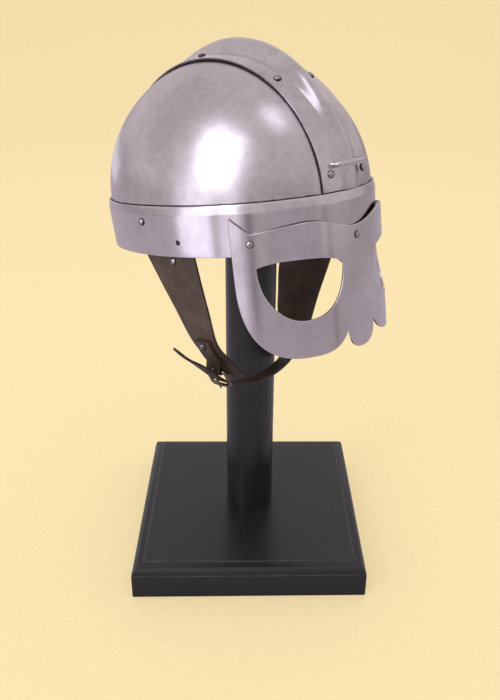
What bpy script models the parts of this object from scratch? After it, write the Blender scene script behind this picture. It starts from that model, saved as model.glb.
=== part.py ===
# Spectacle guard helmet with its leather chin strap, on a plain wooden display stand.
#
# Metres, +Z up. The wearer would face -Y, so the wearer's right is -X. The origin is the centre
# of the underside of the stand's base. The helmet is modelled upright about the centre of its
# lower rim, and one empty then leans it back on the stand.

from math import asin, atan2, cos, degrees, pi, radians, sin, sqrt

import bmesh
import bpy
import numpy as np
from mathutils import Matrix, Vector

# Sheet and clearances
PLATE = 0.0016
GUARD_PLATE = 0.0018
LEATHER = 0.0020
FIT_GAP = 0.0003
CURVED_FIT_GAP = 0.0006
SKULL_SLACK = 0.0001
STRAP_SLACK = 0.0002

# Brow band: an oval, a little longer in front, with a rounded shoulder along its top
BAND_HALF_WIDTH = 0.0919
BAND_FRONT_LENGTH = 0.1139
BAND_REAR_LENGTH = 0.1111
BAND_SQUARENESS = 2.11
BAND_HEIGHT = 0.0360
BAND_TAPER = 0.0012
SHOULDER_HEIGHT = 0.0070
SHOULDER_INSET = 0.0009
SHOULDER_SPLIT = 0.6
ROUND_STEPS = 48

# Skull: two halves that stand inside the band
CROWN_RISE = 0.0985
CROWN_SQUARENESS = 2.06
CROWN_ROWS = 12
SKIRT_DEPTH = 0.0220

# Comb band over the crown
COMB_HALF_WIDTH = 0.0250
RIB_HALF_WIDTH = 0.0112
RIB_HEIGHT = 0.0095
RIB_END_HEIGHT = 0.0030
RIB_FRONT_FALL = (0.40, 0.14)
RIB_REAR_FALL = (0.44, 0.68)
RIB_FULLNESS = 0.8
RIB_STATIONS = (0.0, 0.27, 0.52, 0.77, 1.0)
FLANGE_STATIONS = (0.72, 1.0)
COMB_STEPS = 25
COMB_RIVET_OUT = 0.0172
COMB_RIVET_TURNS = (0.040, 0.286, 0.510, 0.735, 0.960)

# Spectacle guard, measured in the front view from the middle of the rim
GUARD_HALF_WIDTH = 0.0784
GUARD_CORNER_RISE = 0.0272
GUARD_STAND_OFF = 0.0016
BROW_CENTRE_RISE = 0.0114
BROW_PEAK_RISE = 0.0200
BROW_PEAK_OUT = 0.0420
BROW_DIP_RISE = 0.0155
BROW_DIP_OUT = 0.0706
BROW_CURVE = 1.6
CORNER_CURVE = 1.15
RING_OUT = 0.0460
RING_INNER_RADIUS = 0.0386
RING_SHOULDER = -0.0100
RING_BOTTOM = -0.0757
RING_SQUARENESS = 3.0
RING_INNER_START = -149.25
NASAL_HALF_WIDTH = 0.0143
NASAL_SHOULDER = -0.0640
NASAL_BOTTOM = -0.0786
NASAL_SQUARENESS = 2.3
NOTCH_RISE = 0.0020
NOTCH_OUT = 0.0006
NOTCH_MOUTH = 0.0010
EYE_OUT = 0.0462
EYE_OUTER_RADIUS = 0.0232
EYE_INNER_RADIUS = 0.0300
EYE_TOP = -0.0048
EYE_CORNER = -0.0082
EYE_BOTTOM = -0.0483
EYE_SQUARENESS = 2.2
EYE_INNER_END = -174
EYE_CROWN_OUT = 0.0058
EYE_INNER_CORNER_OUT = 0.0047
EYE_INNER_CORNER_DROP = 0.0012
EYE_TOP_CURVE = 2.5
GUARD_STEPS = 36
GUARD_TURN = 67
GUARD_FACE_TURN = 0.97
GUARD_MARGIN = 0.004
GUARD_DRAWING_AHEAD = 0.012
GUARD_DRAWING_REACH = 0.110

# Rivets
RIVET_HEAD_RADIUS = 0.0029
RIVET_HEAD_HEIGHT = 0.0020
RIVET_SHANK_RADIUS = 0.0015
RIVET_TAIL_RADIUS = 0.0024
RIVET_TAIL_HEIGHT = 0.0009
FLUSH_HEAD_RADIUS = 0.0020
FLUSH_HEAD_HEIGHT = 0.0003
SMALL_RIVET_SHARE = 0.9
RIVET_SHOULDER = 52
RIVET_SIDES = 8
DRILL_REACH = 0.0075
GUARD_RIVET_OUT = 0.0710
GUARD_RIVET_RISE = 0.0090
NOSE_RIVET_RISE = 0.0042
BAND_RIVET_REAR = 0.0080
BAND_RIVET_RISE = 0.0245

# Staple over the front of the comb
STAPLE_HALF_SPAN = 0.0152
STAPLE_RISE = 0.0188
STAPLE_STAND_OFF = 0.0055
STAPLE_WIRE_RADIUS = 0.0017
STAPLE_CORNER = 0.0030
STAPLE_FOOT_GAP = 0.0012

# Chin strap
STRAP_TOP_WIDTH = 0.0520
STRAP_TOP_RISE = 0.0134
STRAP_DROP_RIGHT = 0.0970
STRAP_DROP_LEFT = 0.1120
STRAP_PINCH = 0.0260
STRAP_STEPS = 12
STRAP_ACROSS = 4
BUCKLED_WIDTH = 0.0120
BUCKLED_LEATHER = 0.0016
BUCKLED_STEPS = 48
CHAPE_WIDTH = 0.0140
CHAPE_LEATHER = 0.0014
CHAPE_RISES = (0.0335, 0.0245, 0.0165)
CHAPE_RIVET_RISE = 0.0300
CHAPE_FOLD_TURNS = (190, 230, 270, 310, 350)
JOIN_REAR = 0.0060
JOIN_DROPS = (0.1105, 0.1045, 0.0984)
JOIN_RIVET_DROP = 0.1045
STRAP_FLUSH_REAR = -0.0265
STRAP_FLUSH_RISE = 0.0106
STRAP_HEM_REAR = -0.0170
STRAP_HEM_DROP = 0.0036

# Buckle
BUCKLE_WIDTH = 0.0200
BUCKLE_LENGTH = 0.0150
BUCKLE_WIRE_RADIUS = 0.0013
BUCKLE_CORNER = 0.0030
BUCKLE_TILT = 28.0
BUCKLE_LIFT = 0.00085
PRONG_RADIUS = 0.0009
PRONG_HOOK_TURN = 250.0
PRONG_HOOK_STEPS = 9
PRONG_TIP = 0.0012
PRONG_SLOT_WIDTH = 0.0030

# Where the buckle lies: its shares of the pinch, the straps' top width and the left strap's drop
BUCKLE_IN = 0.841
BUCKLE_ALONG = -0.56
BUCKLE_DOWN = 0.868

# Slots for the prong, from the hinge bar: first, last, low and high, in the buckle's own frame
CHAPE_SLOT = (-0.0060, 0.0040, -0.0060, 0.0060)
STRAP_SLOT = (-0.0095, 0.0005, -0.0020, 0.0070)

# Stand
BASE_SIDE = 0.2000
BASE_EDGE_HEIGHT = 0.0224
BASE_HEIGHT = 0.0304
BASE_MOULDING = 0.0100
BASE_STEP = 0.0006
BASE_TURN = 43.6
POST_RADIUS = 0.0211
POST_SIDES = 32
HEAD_RADIUS = 0.0420
HEAD_BOTTOM = 0.3860
HEAD_TRIM_MARGIN = 0.0500
RIVET_TAIL_RELIEF = 0.0015

# How the helmet sits on the stand
HELMET_RIGHT = -0.0062
HELMET_REAR = 0.0049
RIM_HEIGHT = 0.2946
LEAN_BACK = -10.2
LEAN_SIDE = 1.67

# The skull's own oval lies inside the band: its plate, a fit gap and the shoulder's inset
SKULL_INSET = PLATE + SHOULDER_INSET + FIT_GAP + SKULL_SLACK

# The middle of a wide strap's leather lies inside the band where the band leans in the most
STRAP_INSET = BAND_TAPER + PLATE + FIT_GAP + LEATHER / 2 + STRAP_SLACK

# The chape and the buckle share one place along Y
CHAPE_REAR = BUCKLE_ALONG * STRAP_TOP_WIDTH


def clear_scene():
    for item in list(bpy.data.objects):
        bpy.data.objects.remove(item, do_unlink=True)


def new_collection(name):
    collection = bpy.data.collections.new(name)
    bpy.context.scene.collection.children.link(collection)
    return collection


def new_material(name, colour, roughness, metallic):
    material = bpy.data.materials.new(name)
    material.use_nodes = True
    shader = material.node_tree.nodes["Principled BSDF"]
    shader.inputs["Base Color"].default_value = (*colour, 1.0)
    shader.inputs["Roughness"].default_value = roughness
    shader.inputs["Metallic"].default_value = metallic
    material.diffuse_color = (*colour, 1.0)
    return material


def place(item, collection, material=None, parent=None):
    collection.objects.link(item)
    if material is not None:
        item.data.materials.clear()
        item.data.materials.append(material)
    if parent is not None:
        item.parent = parent
    return item


def finish_mesh(name, bm, smooth_angle=None):
    bmesh.ops.recalc_face_normals(bm, faces=bm.faces)
    mesh = bpy.data.meshes.new(name)
    bm.to_mesh(mesh)
    bm.free()
    if smooth_angle is not None:
        mesh.shade_smooth()
        mesh.set_sharp_from_angle(angle=radians(smooth_angle))
    return bpy.data.objects.new(name, mesh)


def add_solidify(item, thickness, offset):
    modifier = item.modifiers.new("Sheet", "SOLIDIFY")
    modifier.thickness = thickness
    modifier.offset = offset
    modifier.use_even_offset = True
    return modifier


def add_boolean(item, operation, cutter):
    modifier = item.modifiers.new(operation.title(), "BOOLEAN")
    modifier.operation = operation
    modifier.solver = "EXACT"
    modifier.object = cutter
    return modifier


def as_cutter(item, collection, parent=None):
    place(item, collection, parent=parent)
    item.hide_render = True
    item.display_type = "WIRE"
    return item


def curve_to_mesh_object(curve_object):
    graph = bpy.context.evaluated_depsgraph_get()
    evaluated = curve_object.evaluated_get(graph)
    mesh = bpy.data.meshes.new_from_object(evaluated, depsgraph=graph)
    bm = bmesh.new()
    bm.from_mesh(mesh)
    bmesh.ops.remove_doubles(bm, verts=bm.verts, dist=0.00001)
    bmesh.ops.recalc_face_normals(bm, faces=bm.faces)
    bm.to_mesh(mesh)
    bm.free()
    item = bpy.data.objects.new(curve_object.name, mesh)
    item.matrix_world = curve_object.matrix_world
    bpy.data.objects.remove(curve_object, do_unlink=True)
    return item


def signed_power(value, power):
    return np.sign(value) * abs(value) ** power


def oval(angle, inset, squareness):
    # A point of the helmet's oval, drawn in by an inset. Angle 0 is the wearer's left.
    length = BAND_FRONT_LENGTH if sin(angle) < 0 else BAND_REAR_LENGTH
    x = (BAND_HALF_WIDTH - inset) * signed_power(cos(angle), 2 / squareness)
    y = (length - inset) * signed_power(sin(angle), 2 / squareness)
    return x, y


def oval_normal(x, y):
    length = BAND_FRONT_LENGTH if y < 0 else BAND_REAR_LENGTH
    power = BAND_SQUARENESS - 1
    nx = signed_power(x / BAND_HALF_WIDTH, power) / BAND_HALF_WIDTH
    ny = signed_power(y / length, power) / length
    return Vector((nx, ny, 0)).normalized()


def oval_half_width_at(y, inset):
    length = (BAND_FRONT_LENGTH if y < 0 else BAND_REAR_LENGTH) - inset
    share = max(0.0, 1 - (abs(y) / length) ** BAND_SQUARENESS)
    return (BAND_HALF_WIDTH - inset) * share ** (1 / BAND_SQUARENESS)


def band_inset_at(z):
    # The band leans in a little towards its lower edge, and its top shoulder is rounded.
    below = BAND_HEIGHT - SHOULDER_HEIGHT
    if z <= below:
        return BAND_TAPER * (1 - z / below)
    return SHOULDER_INSET * ((z - below) / SHOULDER_HEIGHT) ** 2


def squareness_at(height_share):
    return BAND_SQUARENESS + (CROWN_SQUARENESS - BAND_SQUARENESS) * height_share


def skull_point(direction, inset):
    # A unit direction from the centre of the band's top becomes a point of the skull.
    rise = min(1.0, max(0.0, direction.z))
    spread = sqrt(max(0.0, 1 - rise * rise))
    squareness = squareness_at(rise)
    angle = atan2(direction.y, direction.x)
    length = BAND_FRONT_LENGTH if direction.y < 0 else BAND_REAR_LENGTH
    x = (BAND_HALF_WIDTH - inset) * spread * signed_power(cos(angle), 2 / squareness)
    y = (length - inset) * spread * signed_power(sin(angle), 2 / squareness)
    z = BAND_HEIGHT + (CROWN_RISE - inset + SKULL_INSET) * rise
    return Vector((x, y, z))


def skull_normal(point):
    length = (BAND_FRONT_LENGTH if point.y < 0 else BAND_REAR_LENGTH) - SKULL_INSET
    width = BAND_HALF_WIDTH - SKULL_INSET
    rise = max(0.0, point.z - BAND_HEIGHT)
    return Vector((point.x / width**2, point.y / length**2, rise / CROWN_RISE**2)).normalized()


def skull_arc_point(x, turn):
    # A point over the crown on the upright plane at x. Turn 0 is the front rim, 1 the rear rim.
    width = BAND_HALF_WIDTH - SKULL_INSET
    top_rise = sqrt(1 - (x / width) ** 2)
    rise = sin(pi * turn) * top_rise
    squareness = squareness_at(rise)
    spread = sqrt(max(1e-12, 1 - rise * rise))
    side = min(1.0, abs(x) / (width * spread))
    length = (BAND_FRONT_LENGTH if turn < 0.5 else BAND_REAR_LENGTH) - SKULL_INSET
    y = length * spread * (1 - side**squareness) ** (1 / squareness)
    return Vector((x, -y if turn < 0.5 else y, BAND_HEIGHT + CROWN_RISE * rise))


def skull_front_at_height(x, z):
    # The place on the front of the crown, on the plane at x, that lies at height z.
    width = BAND_HALF_WIDTH - SKULL_INSET
    top_rise = sqrt(1 - (x / width) ** 2)
    return skull_arc_point(x, asin((z - BAND_HEIGHT) / (CROWN_RISE * top_rise)) / pi)


def hemisphere(around, rows, keep_side):
    # The upper half of a ball, or the quarter of it on one side, with its pole at the crown.
    bm = bmesh.new()
    bmesh.ops.create_uvsphere(bm, u_segments=around, v_segments=2 * rows, radius=1.0)
    tiny = 1e-5
    lost = [v for v in bm.verts if v.co.z < -tiny or v.co.x * keep_side < -tiny]
    bmesh.ops.delete(bm, geom=lost, context="VERTS")
    return bm


def make_bowl(name, side, collection, material, parent):
    bm = hemisphere(ROUND_STEPS, CROWN_ROWS, side)
    tiny = 1e-5
    rim = [e for e in bm.edges if all(abs(v.co.z) < tiny for v in e.verts)]
    skirt = bmesh.ops.extrude_edge_only(bm, edges=rim)
    skirt_verts = {v for v in skirt["geom"] if isinstance(v, bmesh.types.BMVert)}
    for vert in bm.verts:
        on_seam = abs(vert.co.x) < tiny
        point = skull_point(vert.co, SKULL_INSET)
        if vert in skirt_verts:
            point.z = BAND_HEIGHT - SKIRT_DEPTH
        if on_seam:
            point.x = side * FIT_GAP / 2
        vert.co = point
    bowl = finish_mesh(name, bm, 40)
    place(bowl, collection, material, parent)
    add_solidify(bowl, PLATE, -1.0)
    return bowl


def rib_height(x, turn):
    # The rib stands full height over the crown and runs out low towards both rims.
    away = min(1.0, abs(x) / RIB_HALF_WIDTH)
    section = (0.5 + 0.5 * cos(pi * away)) ** RIB_FULLNESS
    lows = []
    for start, end in (RIB_FRONT_FALL, RIB_REAR_FALL):
        fall = min(1.0, max(0.0, (turn - start) / (end - start)))
        lows.append(fall * fall * (3 - 2 * fall))
    return (RIB_HEIGHT + (RIB_END_HEIGHT - RIB_HEIGHT) * max(lows)) * section


def comb_stations():
    inner = [RIB_HALF_WIDTH * share for share in RIB_STATIONS]
    outer = [COMB_HALF_WIDTH * share for share in FLANGE_STATIONS]
    half = inner + outer
    return [-x for x in reversed(half[1:])] + half


def make_comb(collection, material, parent):
    stations = comb_stations()
    rim_clear = FIT_GAP * 2
    bm = bmesh.new()
    bmesh.ops.create_grid(bm, x_segments=len(stations) - 1, y_segments=COMB_STEPS, size=0.5)
    width = BAND_HALF_WIDTH - SKULL_INSET
    for vert in bm.verts:
        column = round((vert.co.x + 0.5) * (len(stations) - 1))
        share = vert.co.y + 0.5
        x = stations[column]
        first = asin(rim_clear / (CROWN_RISE * sqrt(1 - (x / width) ** 2))) / pi
        turn = first + (1 - 2 * first) * share
        point = skull_arc_point(x, turn)
        vert.co = point + skull_normal(point) * (CURVED_FIT_GAP + rib_height(x, turn))
    comb = finish_mesh("comb_band", bm, 40)
    facing = comb.data.polygons[len(comb.data.polygons) // 2].normal.z
    place(comb, collection, material, parent)
    add_solidify(comb, PLATE, 1.0 if facing > 0 else -1.0)
    return comb


def make_band(collection, material, parent):
    below = BAND_HEIGHT - SHOULDER_HEIGHT
    heights = (0.0, below, below + SHOULDER_HEIGHT * SHOULDER_SPLIT, BAND_HEIGHT)
    bm = bmesh.new()
    bmesh.ops.create_cone(
        bm, cap_ends=False, segments=ROUND_STEPS, radius1=1.0, radius2=1.0, depth=2.0
    )
    for z in (-1 / 3, 1 / 3):
        geometry = list(bm.verts) + list(bm.edges) + list(bm.faces)
        bmesh.ops.bisect_plane(bm, geom=geometry, plane_co=(0, 0, z), plane_no=(0, 0, 1))
    for vert in bm.verts:
        z = heights[round((vert.co.z + 1) * 1.5)]
        angle = atan2(vert.co.y, vert.co.x)
        x, y = oval(angle, band_inset_at(z), BAND_SQUARENESS)
        vert.co = (x, y, z)
    band = finish_mesh("brow_band", bm, 40)
    place(band, collection, material, parent)
    add_solidify(band, PLATE, -1.0)
    return band


def guard_stand_off(x):
    # The plate touches the band at its three rivets and bows off it between them.
    return FIT_GAP + GUARD_STAND_OFF * sin(pi * x / GUARD_RIVET_OUT) ** 2


def guard_back_point(angle):
    x, y = oval(angle, 0.0, BAND_SQUARENESS)
    normal = oval_normal(x, y)
    return Vector((x, y, 0)) + normal * guard_stand_off(x), normal


def guard_face_at(x_face):
    # The guard's outer face where the front view shows x, and the way it looks there.
    low = -pi / 2
    high = -pi / 2 + pi / 2 * GUARD_FACE_TURN
    for _ in range(40):
        middle = (low + high) / 2
        point, normal = guard_back_point(middle)
        reach = (point + normal * GUARD_PLATE).x
        if reach < abs(x_face):
            low = middle
        else:
            high = middle
    point, normal = guard_back_point(low)
    point = point + normal * GUARD_PLATE
    if x_face < 0:
        point.x = -point.x
        normal.x = -normal.x
    return point, normal


def rounded_arc(centre_x, centre_z, radius_x, radius_z, squareness, start, end, steps):
    # Part of a rounded square, by angle in degrees: 0 points outwards and -90 down.
    points = []
    for i in range(steps + 1):
        angle = radians(start + (end - start) * i / steps)
        x = centre_x + radius_x * signed_power(cos(angle), 2 / squareness)
        z = centre_z + radius_z * signed_power(sin(angle), 2 / squareness)
        points.append((x, z))
    return points


def brow_edge(x):
    # The wavy top edge: a dip over the nose, a peak over each eye and a dip by the temple.
    if x <= BROW_PEAK_OUT:
        middle = (BROW_PEAK_RISE + BROW_CENTRE_RISE) / 2
        swing = (BROW_PEAK_RISE - BROW_CENTRE_RISE) / 2
        return middle - swing * cos(pi * x / BROW_PEAK_OUT)
    if x <= BROW_DIP_OUT:
        share = (x - BROW_PEAK_OUT) / (BROW_DIP_OUT - BROW_PEAK_OUT)
        return BROW_PEAK_RISE + (BROW_DIP_RISE - BROW_PEAK_RISE) * share**BROW_CURVE
    share = (x - BROW_DIP_OUT) / (GUARD_HALF_WIDTH - BROW_DIP_OUT)
    return BROW_DIP_RISE + (GUARD_CORNER_RISE - BROW_DIP_RISE) * share**CORNER_CURVE


def guard_half_outline():
    # From the tip of the nasal, out round the cheek ring and back along the brow.
    nasal_depth = NASAL_SHOULDER - NASAL_BOTTOM
    nasal = rounded_arc(
        0.0, NASAL_SHOULDER, NASAL_HALF_WIDTH, nasal_depth, NASAL_SQUARENESS, -90, 0, 8
    )
    notch_x = NASAL_HALF_WIDTH + NOTCH_OUT
    notch = [(notch_x, NASAL_SHOULDER + NOTCH_RISE)]
    depth = RING_SHOULDER - RING_BOTTOM
    inner = rounded_arc(
        RING_OUT, RING_SHOULDER, RING_INNER_RADIUS, depth, RING_SQUARENESS,
        RING_INNER_START, -90, 9
    )
    inner = [p for p in inner if p[0] > notch_x + NOTCH_MOUTH]
    outer_radius = GUARD_HALF_WIDTH - RING_OUT
    outer = rounded_arc(RING_OUT, RING_SHOULDER, outer_radius, depth, RING_SQUARENESS, -90, 0, 12)
    outer = outer[1:]
    span = GUARD_HALF_WIDTH
    brow = [(span * share, brow_edge(span * share)) for share in np.linspace(1.0, 0.0, 25)]
    return nasal + notch + inner + outer + brow


def eye_outline():
    depth = EYE_CORNER - EYE_BOTTOM
    outer = rounded_arc(
        EYE_OUT, EYE_CORNER, EYE_OUTER_RADIUS, depth, EYE_SQUARENESS, 0, -90, 9
    )
    inner = rounded_arc(
        EYE_OUT, EYE_CORNER, EYE_INNER_RADIUS, depth, EYE_SQUARENESS, -90, EYE_INNER_END, 10
    )
    crown_x = EYE_OUT + EYE_CROWN_OUT
    inner_x = EYE_OUT - EYE_INNER_RADIUS + EYE_INNER_CORNER_OUT
    outer_x = EYE_OUT + EYE_OUTER_RADIUS
    inner_drop = EYE_TOP - EYE_CORNER + EYE_INNER_CORNER_DROP
    outer_drop = EYE_TOP - EYE_CORNER
    top = []
    for share in np.linspace(0.0, 1.0, 12)[:-1]:
        x = inner_x + (outer_x - inner_x) * share
        if x < crown_x:
            drop = inner_drop * ((crown_x - x) / (crown_x - inner_x)) ** EYE_TOP_CURVE
        else:
            drop = outer_drop * ((x - crown_x) / (outer_x - crown_x)) ** EYE_TOP_CURVE
        top.append((x, EYE_TOP - drop))
    return outer + inner[1:] + top


def flat_outline_object(name, loops, reach):
    # A flat drawing in the front view, stretched along Y.
    curve = bpy.data.curves.new(name, "CURVE")
    curve.dimensions = "2D"
    curve.fill_mode = "BOTH"
    curve.extrude = reach / 2
    for loop in loops:
        spline = curve.splines.new("POLY")
        spline.points.add(len(loop) - 1)
        for point, (x, z) in zip(spline.points, loop):
            point.co = (x, z, 0, 1)
        spline.use_cyclic_u = True
    item = bpy.data.objects.new(name, curve)
    item.rotation_euler = (pi / 2, 0, 0)
    return item


def make_guard(collection, cutters, material, parent):
    bm = bmesh.new()
    bmesh.ops.create_grid(bm, x_segments=GUARD_STEPS, y_segments=1, size=0.5)
    low = NASAL_BOTTOM - GUARD_MARGIN
    high = GUARD_CORNER_RISE + GUARD_MARGIN
    reach = radians(GUARD_TURN)
    for vert in bm.verts:
        angle = -pi / 2 + 2 * reach * vert.co.x
        point, _ = guard_back_point(angle)
        z = low if vert.co.y < 0 else high
        vert.co = (point.x, point.y, z)
    guard = finish_mesh("spectacle_guard", bm, 30)
    front = min(guard.data.polygons, key=lambda face: abs(face.center.x))
    place(guard, collection, material, parent)
    add_solidify(guard, GUARD_PLATE, 1.0 if front.normal.y < 0 else -1.0)

    half = guard_half_outline()
    other_half = [(-x, z) for x, z in reversed(half) if x > 1e-6]
    eye = eye_outline()
    other_eye = [(-x, z) for x, z in reversed(eye)]
    loops = [half + other_half, eye, other_eye]
    drawing = flat_outline_object("guard_drawing", loops, GUARD_DRAWING_REACH)
    front_y = -BAND_FRONT_LENGTH - GUARD_DRAWING_AHEAD
    drawing.location.y = front_y + GUARD_DRAWING_REACH / 2
    bpy.context.scene.collection.objects.link(drawing)
    bpy.context.view_layer.update()
    drawing = curve_to_mesh_object(drawing)
    as_cutter(drawing, cutters, parent)
    add_boolean(guard, "INTERSECT", drawing)
    return guard


def frame_on(point, outwards):
    # A placing matrix whose Z looks outwards.
    turn = outwards.to_track_quat("Z", "Y")
    return Matrix.Translation(point) @ turn.to_matrix().to_4x4()


def rivet_mesh(name, grip, head_radius, head_height):
    # A turned rivet: its head stands on z = 0, its shank reaches down and ends in a peened tail.
    end = -grip
    foot = end - RIVET_TAIL_HEIGHT
    bm = bmesh.new()
    shoulder = radians(RIVET_SHOULDER)
    profile = [(0.0, head_height)]
    profile += [(head_radius * sin(shoulder), head_height * cos(shoulder)), (head_radius, 0.0)]
    profile += [(RIVET_SHANK_RADIUS, 0.0), (RIVET_SHANK_RADIUS, end)]
    profile += [(RIVET_TAIL_RADIUS, end), (RIVET_TAIL_RADIUS, foot), (0.0, foot)]
    verts = [bm.verts.new((x, 0, z)) for x, z in profile]
    for first, second in zip(verts, verts[1:]):
        bm.edges.new((first, second))
    mesh = bpy.data.meshes.new(name)
    bm.to_mesh(mesh)
    bm.free()
    return mesh


def make_rivet(name, seat, mesh, collection, material, parent, holes):
    rivet = bpy.data.objects.new(name, mesh)
    rivet.matrix_local = seat
    place(rivet, collection, material, parent)
    modifier = rivet.modifiers.new("Turn", "SCREW")
    modifier.axis = "Z"
    modifier.angle = 2 * pi
    modifier.steps = RIVET_SIDES
    modifier.render_steps = RIVET_SIDES
    modifier.use_merge_vertices = True
    modifier.merge_threshold = 0.00001
    modifier.use_smooth_shade = True
    holes.append(seat)
    return rivet


def make_rivet_holes(seats, reach, collection, parent):
    # One drill for each rivet, all in one cutter.
    bm = bmesh.new()
    for seat in seats:
        bmesh.ops.create_cone(
            bm,
            cap_ends=True,
            segments=RIVET_SIDES,
            radius1=RIVET_SHANK_RADIUS + FIT_GAP,
            radius2=RIVET_SHANK_RADIUS + FIT_GAP,
            depth=2 * reach,
            matrix=seat,
        )
    drills = finish_mesh("rivet_drills", bm)
    return as_cutter(drills, collection, parent)


def comb_rivet_seats():
    # Five rivets along each flange, from the front rim over the crown to the rear rim.
    seats = []
    lift = CURVED_FIT_GAP + PLATE + FIT_GAP
    for side, label in ((-1, "right"), (1, "left")):
        for number, turn in enumerate(COMB_RIVET_TURNS, 1):
            point = skull_arc_point(side * COMB_RIVET_OUT, turn)
            normal = skull_normal(point)
            seats.append((f"comb_rivet_{label}_{number}", frame_on(point + normal * lift, normal)))
    return seats


def smooth_rows(rows, count):
    # Rows of a table joined by smooth curves, as count + 1 evenly spaced rows.
    table = np.array(rows, dtype=float)
    padded = np.vstack([2 * table[0] - table[1], table, 2 * table[-1] - table[-2]])
    result = []
    for i in range(count + 1):
        place_in = i / count * (len(table) - 1)
        k = min(int(place_in), len(table) - 2)
        t = place_in - k
        a, b, c, d = padded[k : k + 4]
        result.append(
            0.5 * (2 * b + (c - a) * t + (2 * a - 5 * b + 4 * c - d) * t**2
                   + (3 * b - a - 3 * c + d) * t**3)
        )
    return result


def make_ribbon(name, edges, across, thickness, collection, material, parent, bulge=None):
    # A strip of leather between a row of left points and a row of right points.
    bm = bmesh.new()
    rows = len(edges) - 1
    bmesh.ops.create_grid(bm, x_segments=across, y_segments=rows, size=0.5)
    for vert in bm.verts:
        row = round((vert.co.y + 0.5) * rows)
        share = vert.co.x + 0.5
        left, right = edges[row]
        point = left.lerp(right, share)
        if bulge is not None:
            point = bulge(point, left, right, share)
        vert.co = point
    ribbon = finish_mesh(name, bm, 40)
    place(ribbon, collection, material, parent)
    add_solidify(ribbon, thickness, 0.0)
    return ribbon


# Each row of a tapered strap: how far down it is, as a share of the drop, then its front and rear
# edges along Y as shares of the strap's top width, then how far each edge is pulled in, as shares
# of the pinch.
STRAP_RIGHT_ROWS = [
    # down, front, rear, front_in, rear_in
    (0.000, -0.690, 0.225, 0.00, 0.00),
    (0.220, -0.735, 0.045, 0.02, 0.10),
    (0.420, -0.765, -0.115, 0.08, 0.20),
    (0.700, -0.765, -0.262, 0.27, 0.43),
    (0.880, -0.845, -0.369, 0.63, 0.78),
    (1.000, -0.905, -0.428, 0.88, 1.02),
]
STRAP_LEFT_ROWS = [
    # down, front, rear, front_in, rear_in
    (0.000, -0.75, 0.30, 0.00, 0.00),
    (0.180, -0.60, 0.42, 0.06, 0.26),
    (0.380, -0.41, 0.52, 0.16, 0.56),
    (0.610, -0.21, 0.52, 0.34, 0.78),
    (0.800, -0.10, 0.48, 0.56, 0.98),
    (1.000, -0.04, 0.27, 0.88, 1.10),
]


def strap_edges(side, rows, drop):
    edges = [strap_row(side, rows[0][1], rows[0][2], 0.0, 0.0, STRAP_TOP_RISE)]
    for down, front, rear, front_in, rear_in in smooth_rows(rows, STRAP_STEPS):
        edges.append(strap_row(side, front, rear, front_in, rear_in, -down * drop))
    return edges


def strap_row(side, front, rear, front_in, rear_in, z):
    y_front = front * STRAP_TOP_WIDTH
    y_rear = rear * STRAP_TOP_WIDTH
    x_front = oval_half_width_at(y_front, STRAP_INSET) - front_in * STRAP_PINCH
    x_rear = oval_half_width_at(y_rear, STRAP_INSET) - rear_in * STRAP_PINCH
    return Vector((side * x_front, y_front, z)), Vector((side * x_rear, y_rear, z))


def follow_band(side):
    # Across its width a strap keeps the band's curve.
    def bulge(point, left, right, share):
        left_in = oval_half_width_at(left.y, STRAP_INSET) - abs(left.x)
        right_in = oval_half_width_at(right.y, STRAP_INSET) - abs(right.x)
        curved = oval_half_width_at(point.y, STRAP_INSET) - left_in - (right_in - left_in) * share
        return Vector((side * curved, point.y, point.z))

    return bulge


def strap_point(edges, side, y, drop):
    # A point on the middle of a tapered strap, at one distance to the rear and one drop.
    bulge = follow_band(side)
    for (front_a, rear_a), (front_b, rear_b) in zip(edges, edges[1:]):
        if front_a.z >= -drop >= front_b.z:
            share = (front_a.z + drop) / (front_a.z - front_b.z)
            front = front_a.lerp(front_b, share)
            rear = rear_a.lerp(rear_b, share)
            across = (y - front.y) / (rear.y - front.y)
            return bulge(front.lerp(rear, across), front, rear, across)
    raise ValueError("no strap at this drop")


def strap_seat(edges, side, y, drop, lift):
    # A place over or under the face of a tapered strap, the way out of it and the way across it.
    step = 0.002
    middle = strap_point(edges, side, y, drop)
    rearwards = strap_point(edges, side, y + step, drop) - middle
    upwards = strap_point(edges, side, y, drop - step) - middle
    outwards = rearwards.cross(upwards).normalized() * side
    across = Vector((-outwards.y, outwards.x, 0)).normalized() * side
    return middle + outwards * lift, outwards, across


# Middle line of the buckled strap, from the free end through the buckle to near the left strap.
# Across is a share of the band's half width, in one of the pinch, added to it; along is a share of
# the straps' top width and down one of the left strap's drop. The last rows of the line lie on the
# left strap and follow from that.
BUCKLED_ROUTE = [
    # across, in, along, down, twist in degrees
    (-1, -0.686, -0.62, 0.543, -20),
    (-1, -0.332, -0.61, 0.630, -16),
    (-1, 0.067, -0.59, 0.704, -6),
    (-1, 0.452, BUCKLE_ALONG, 0.782, 0),
    (-1, BUCKLE_IN, BUCKLE_ALONG, BUCKLE_DOWN, 0),
    (-1, 1.283, BUCKLE_ALONG, 0.936, 0),
    (-0.498, 0, -0.59, 0.974, 0),
    (-0.320, 0, -0.62, 0.988, 4),
    (-0.100, 0, -0.52, 1.004, 10),
    (0.147, 0, -0.36, 1.010, 16),
    (0.360, 0, -0.16, 1.018, 18),
    (0.520, 0, 0.00, 1.044, 21),
    (0.604, 0, 0.08, 1.034, 23),
]


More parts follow.
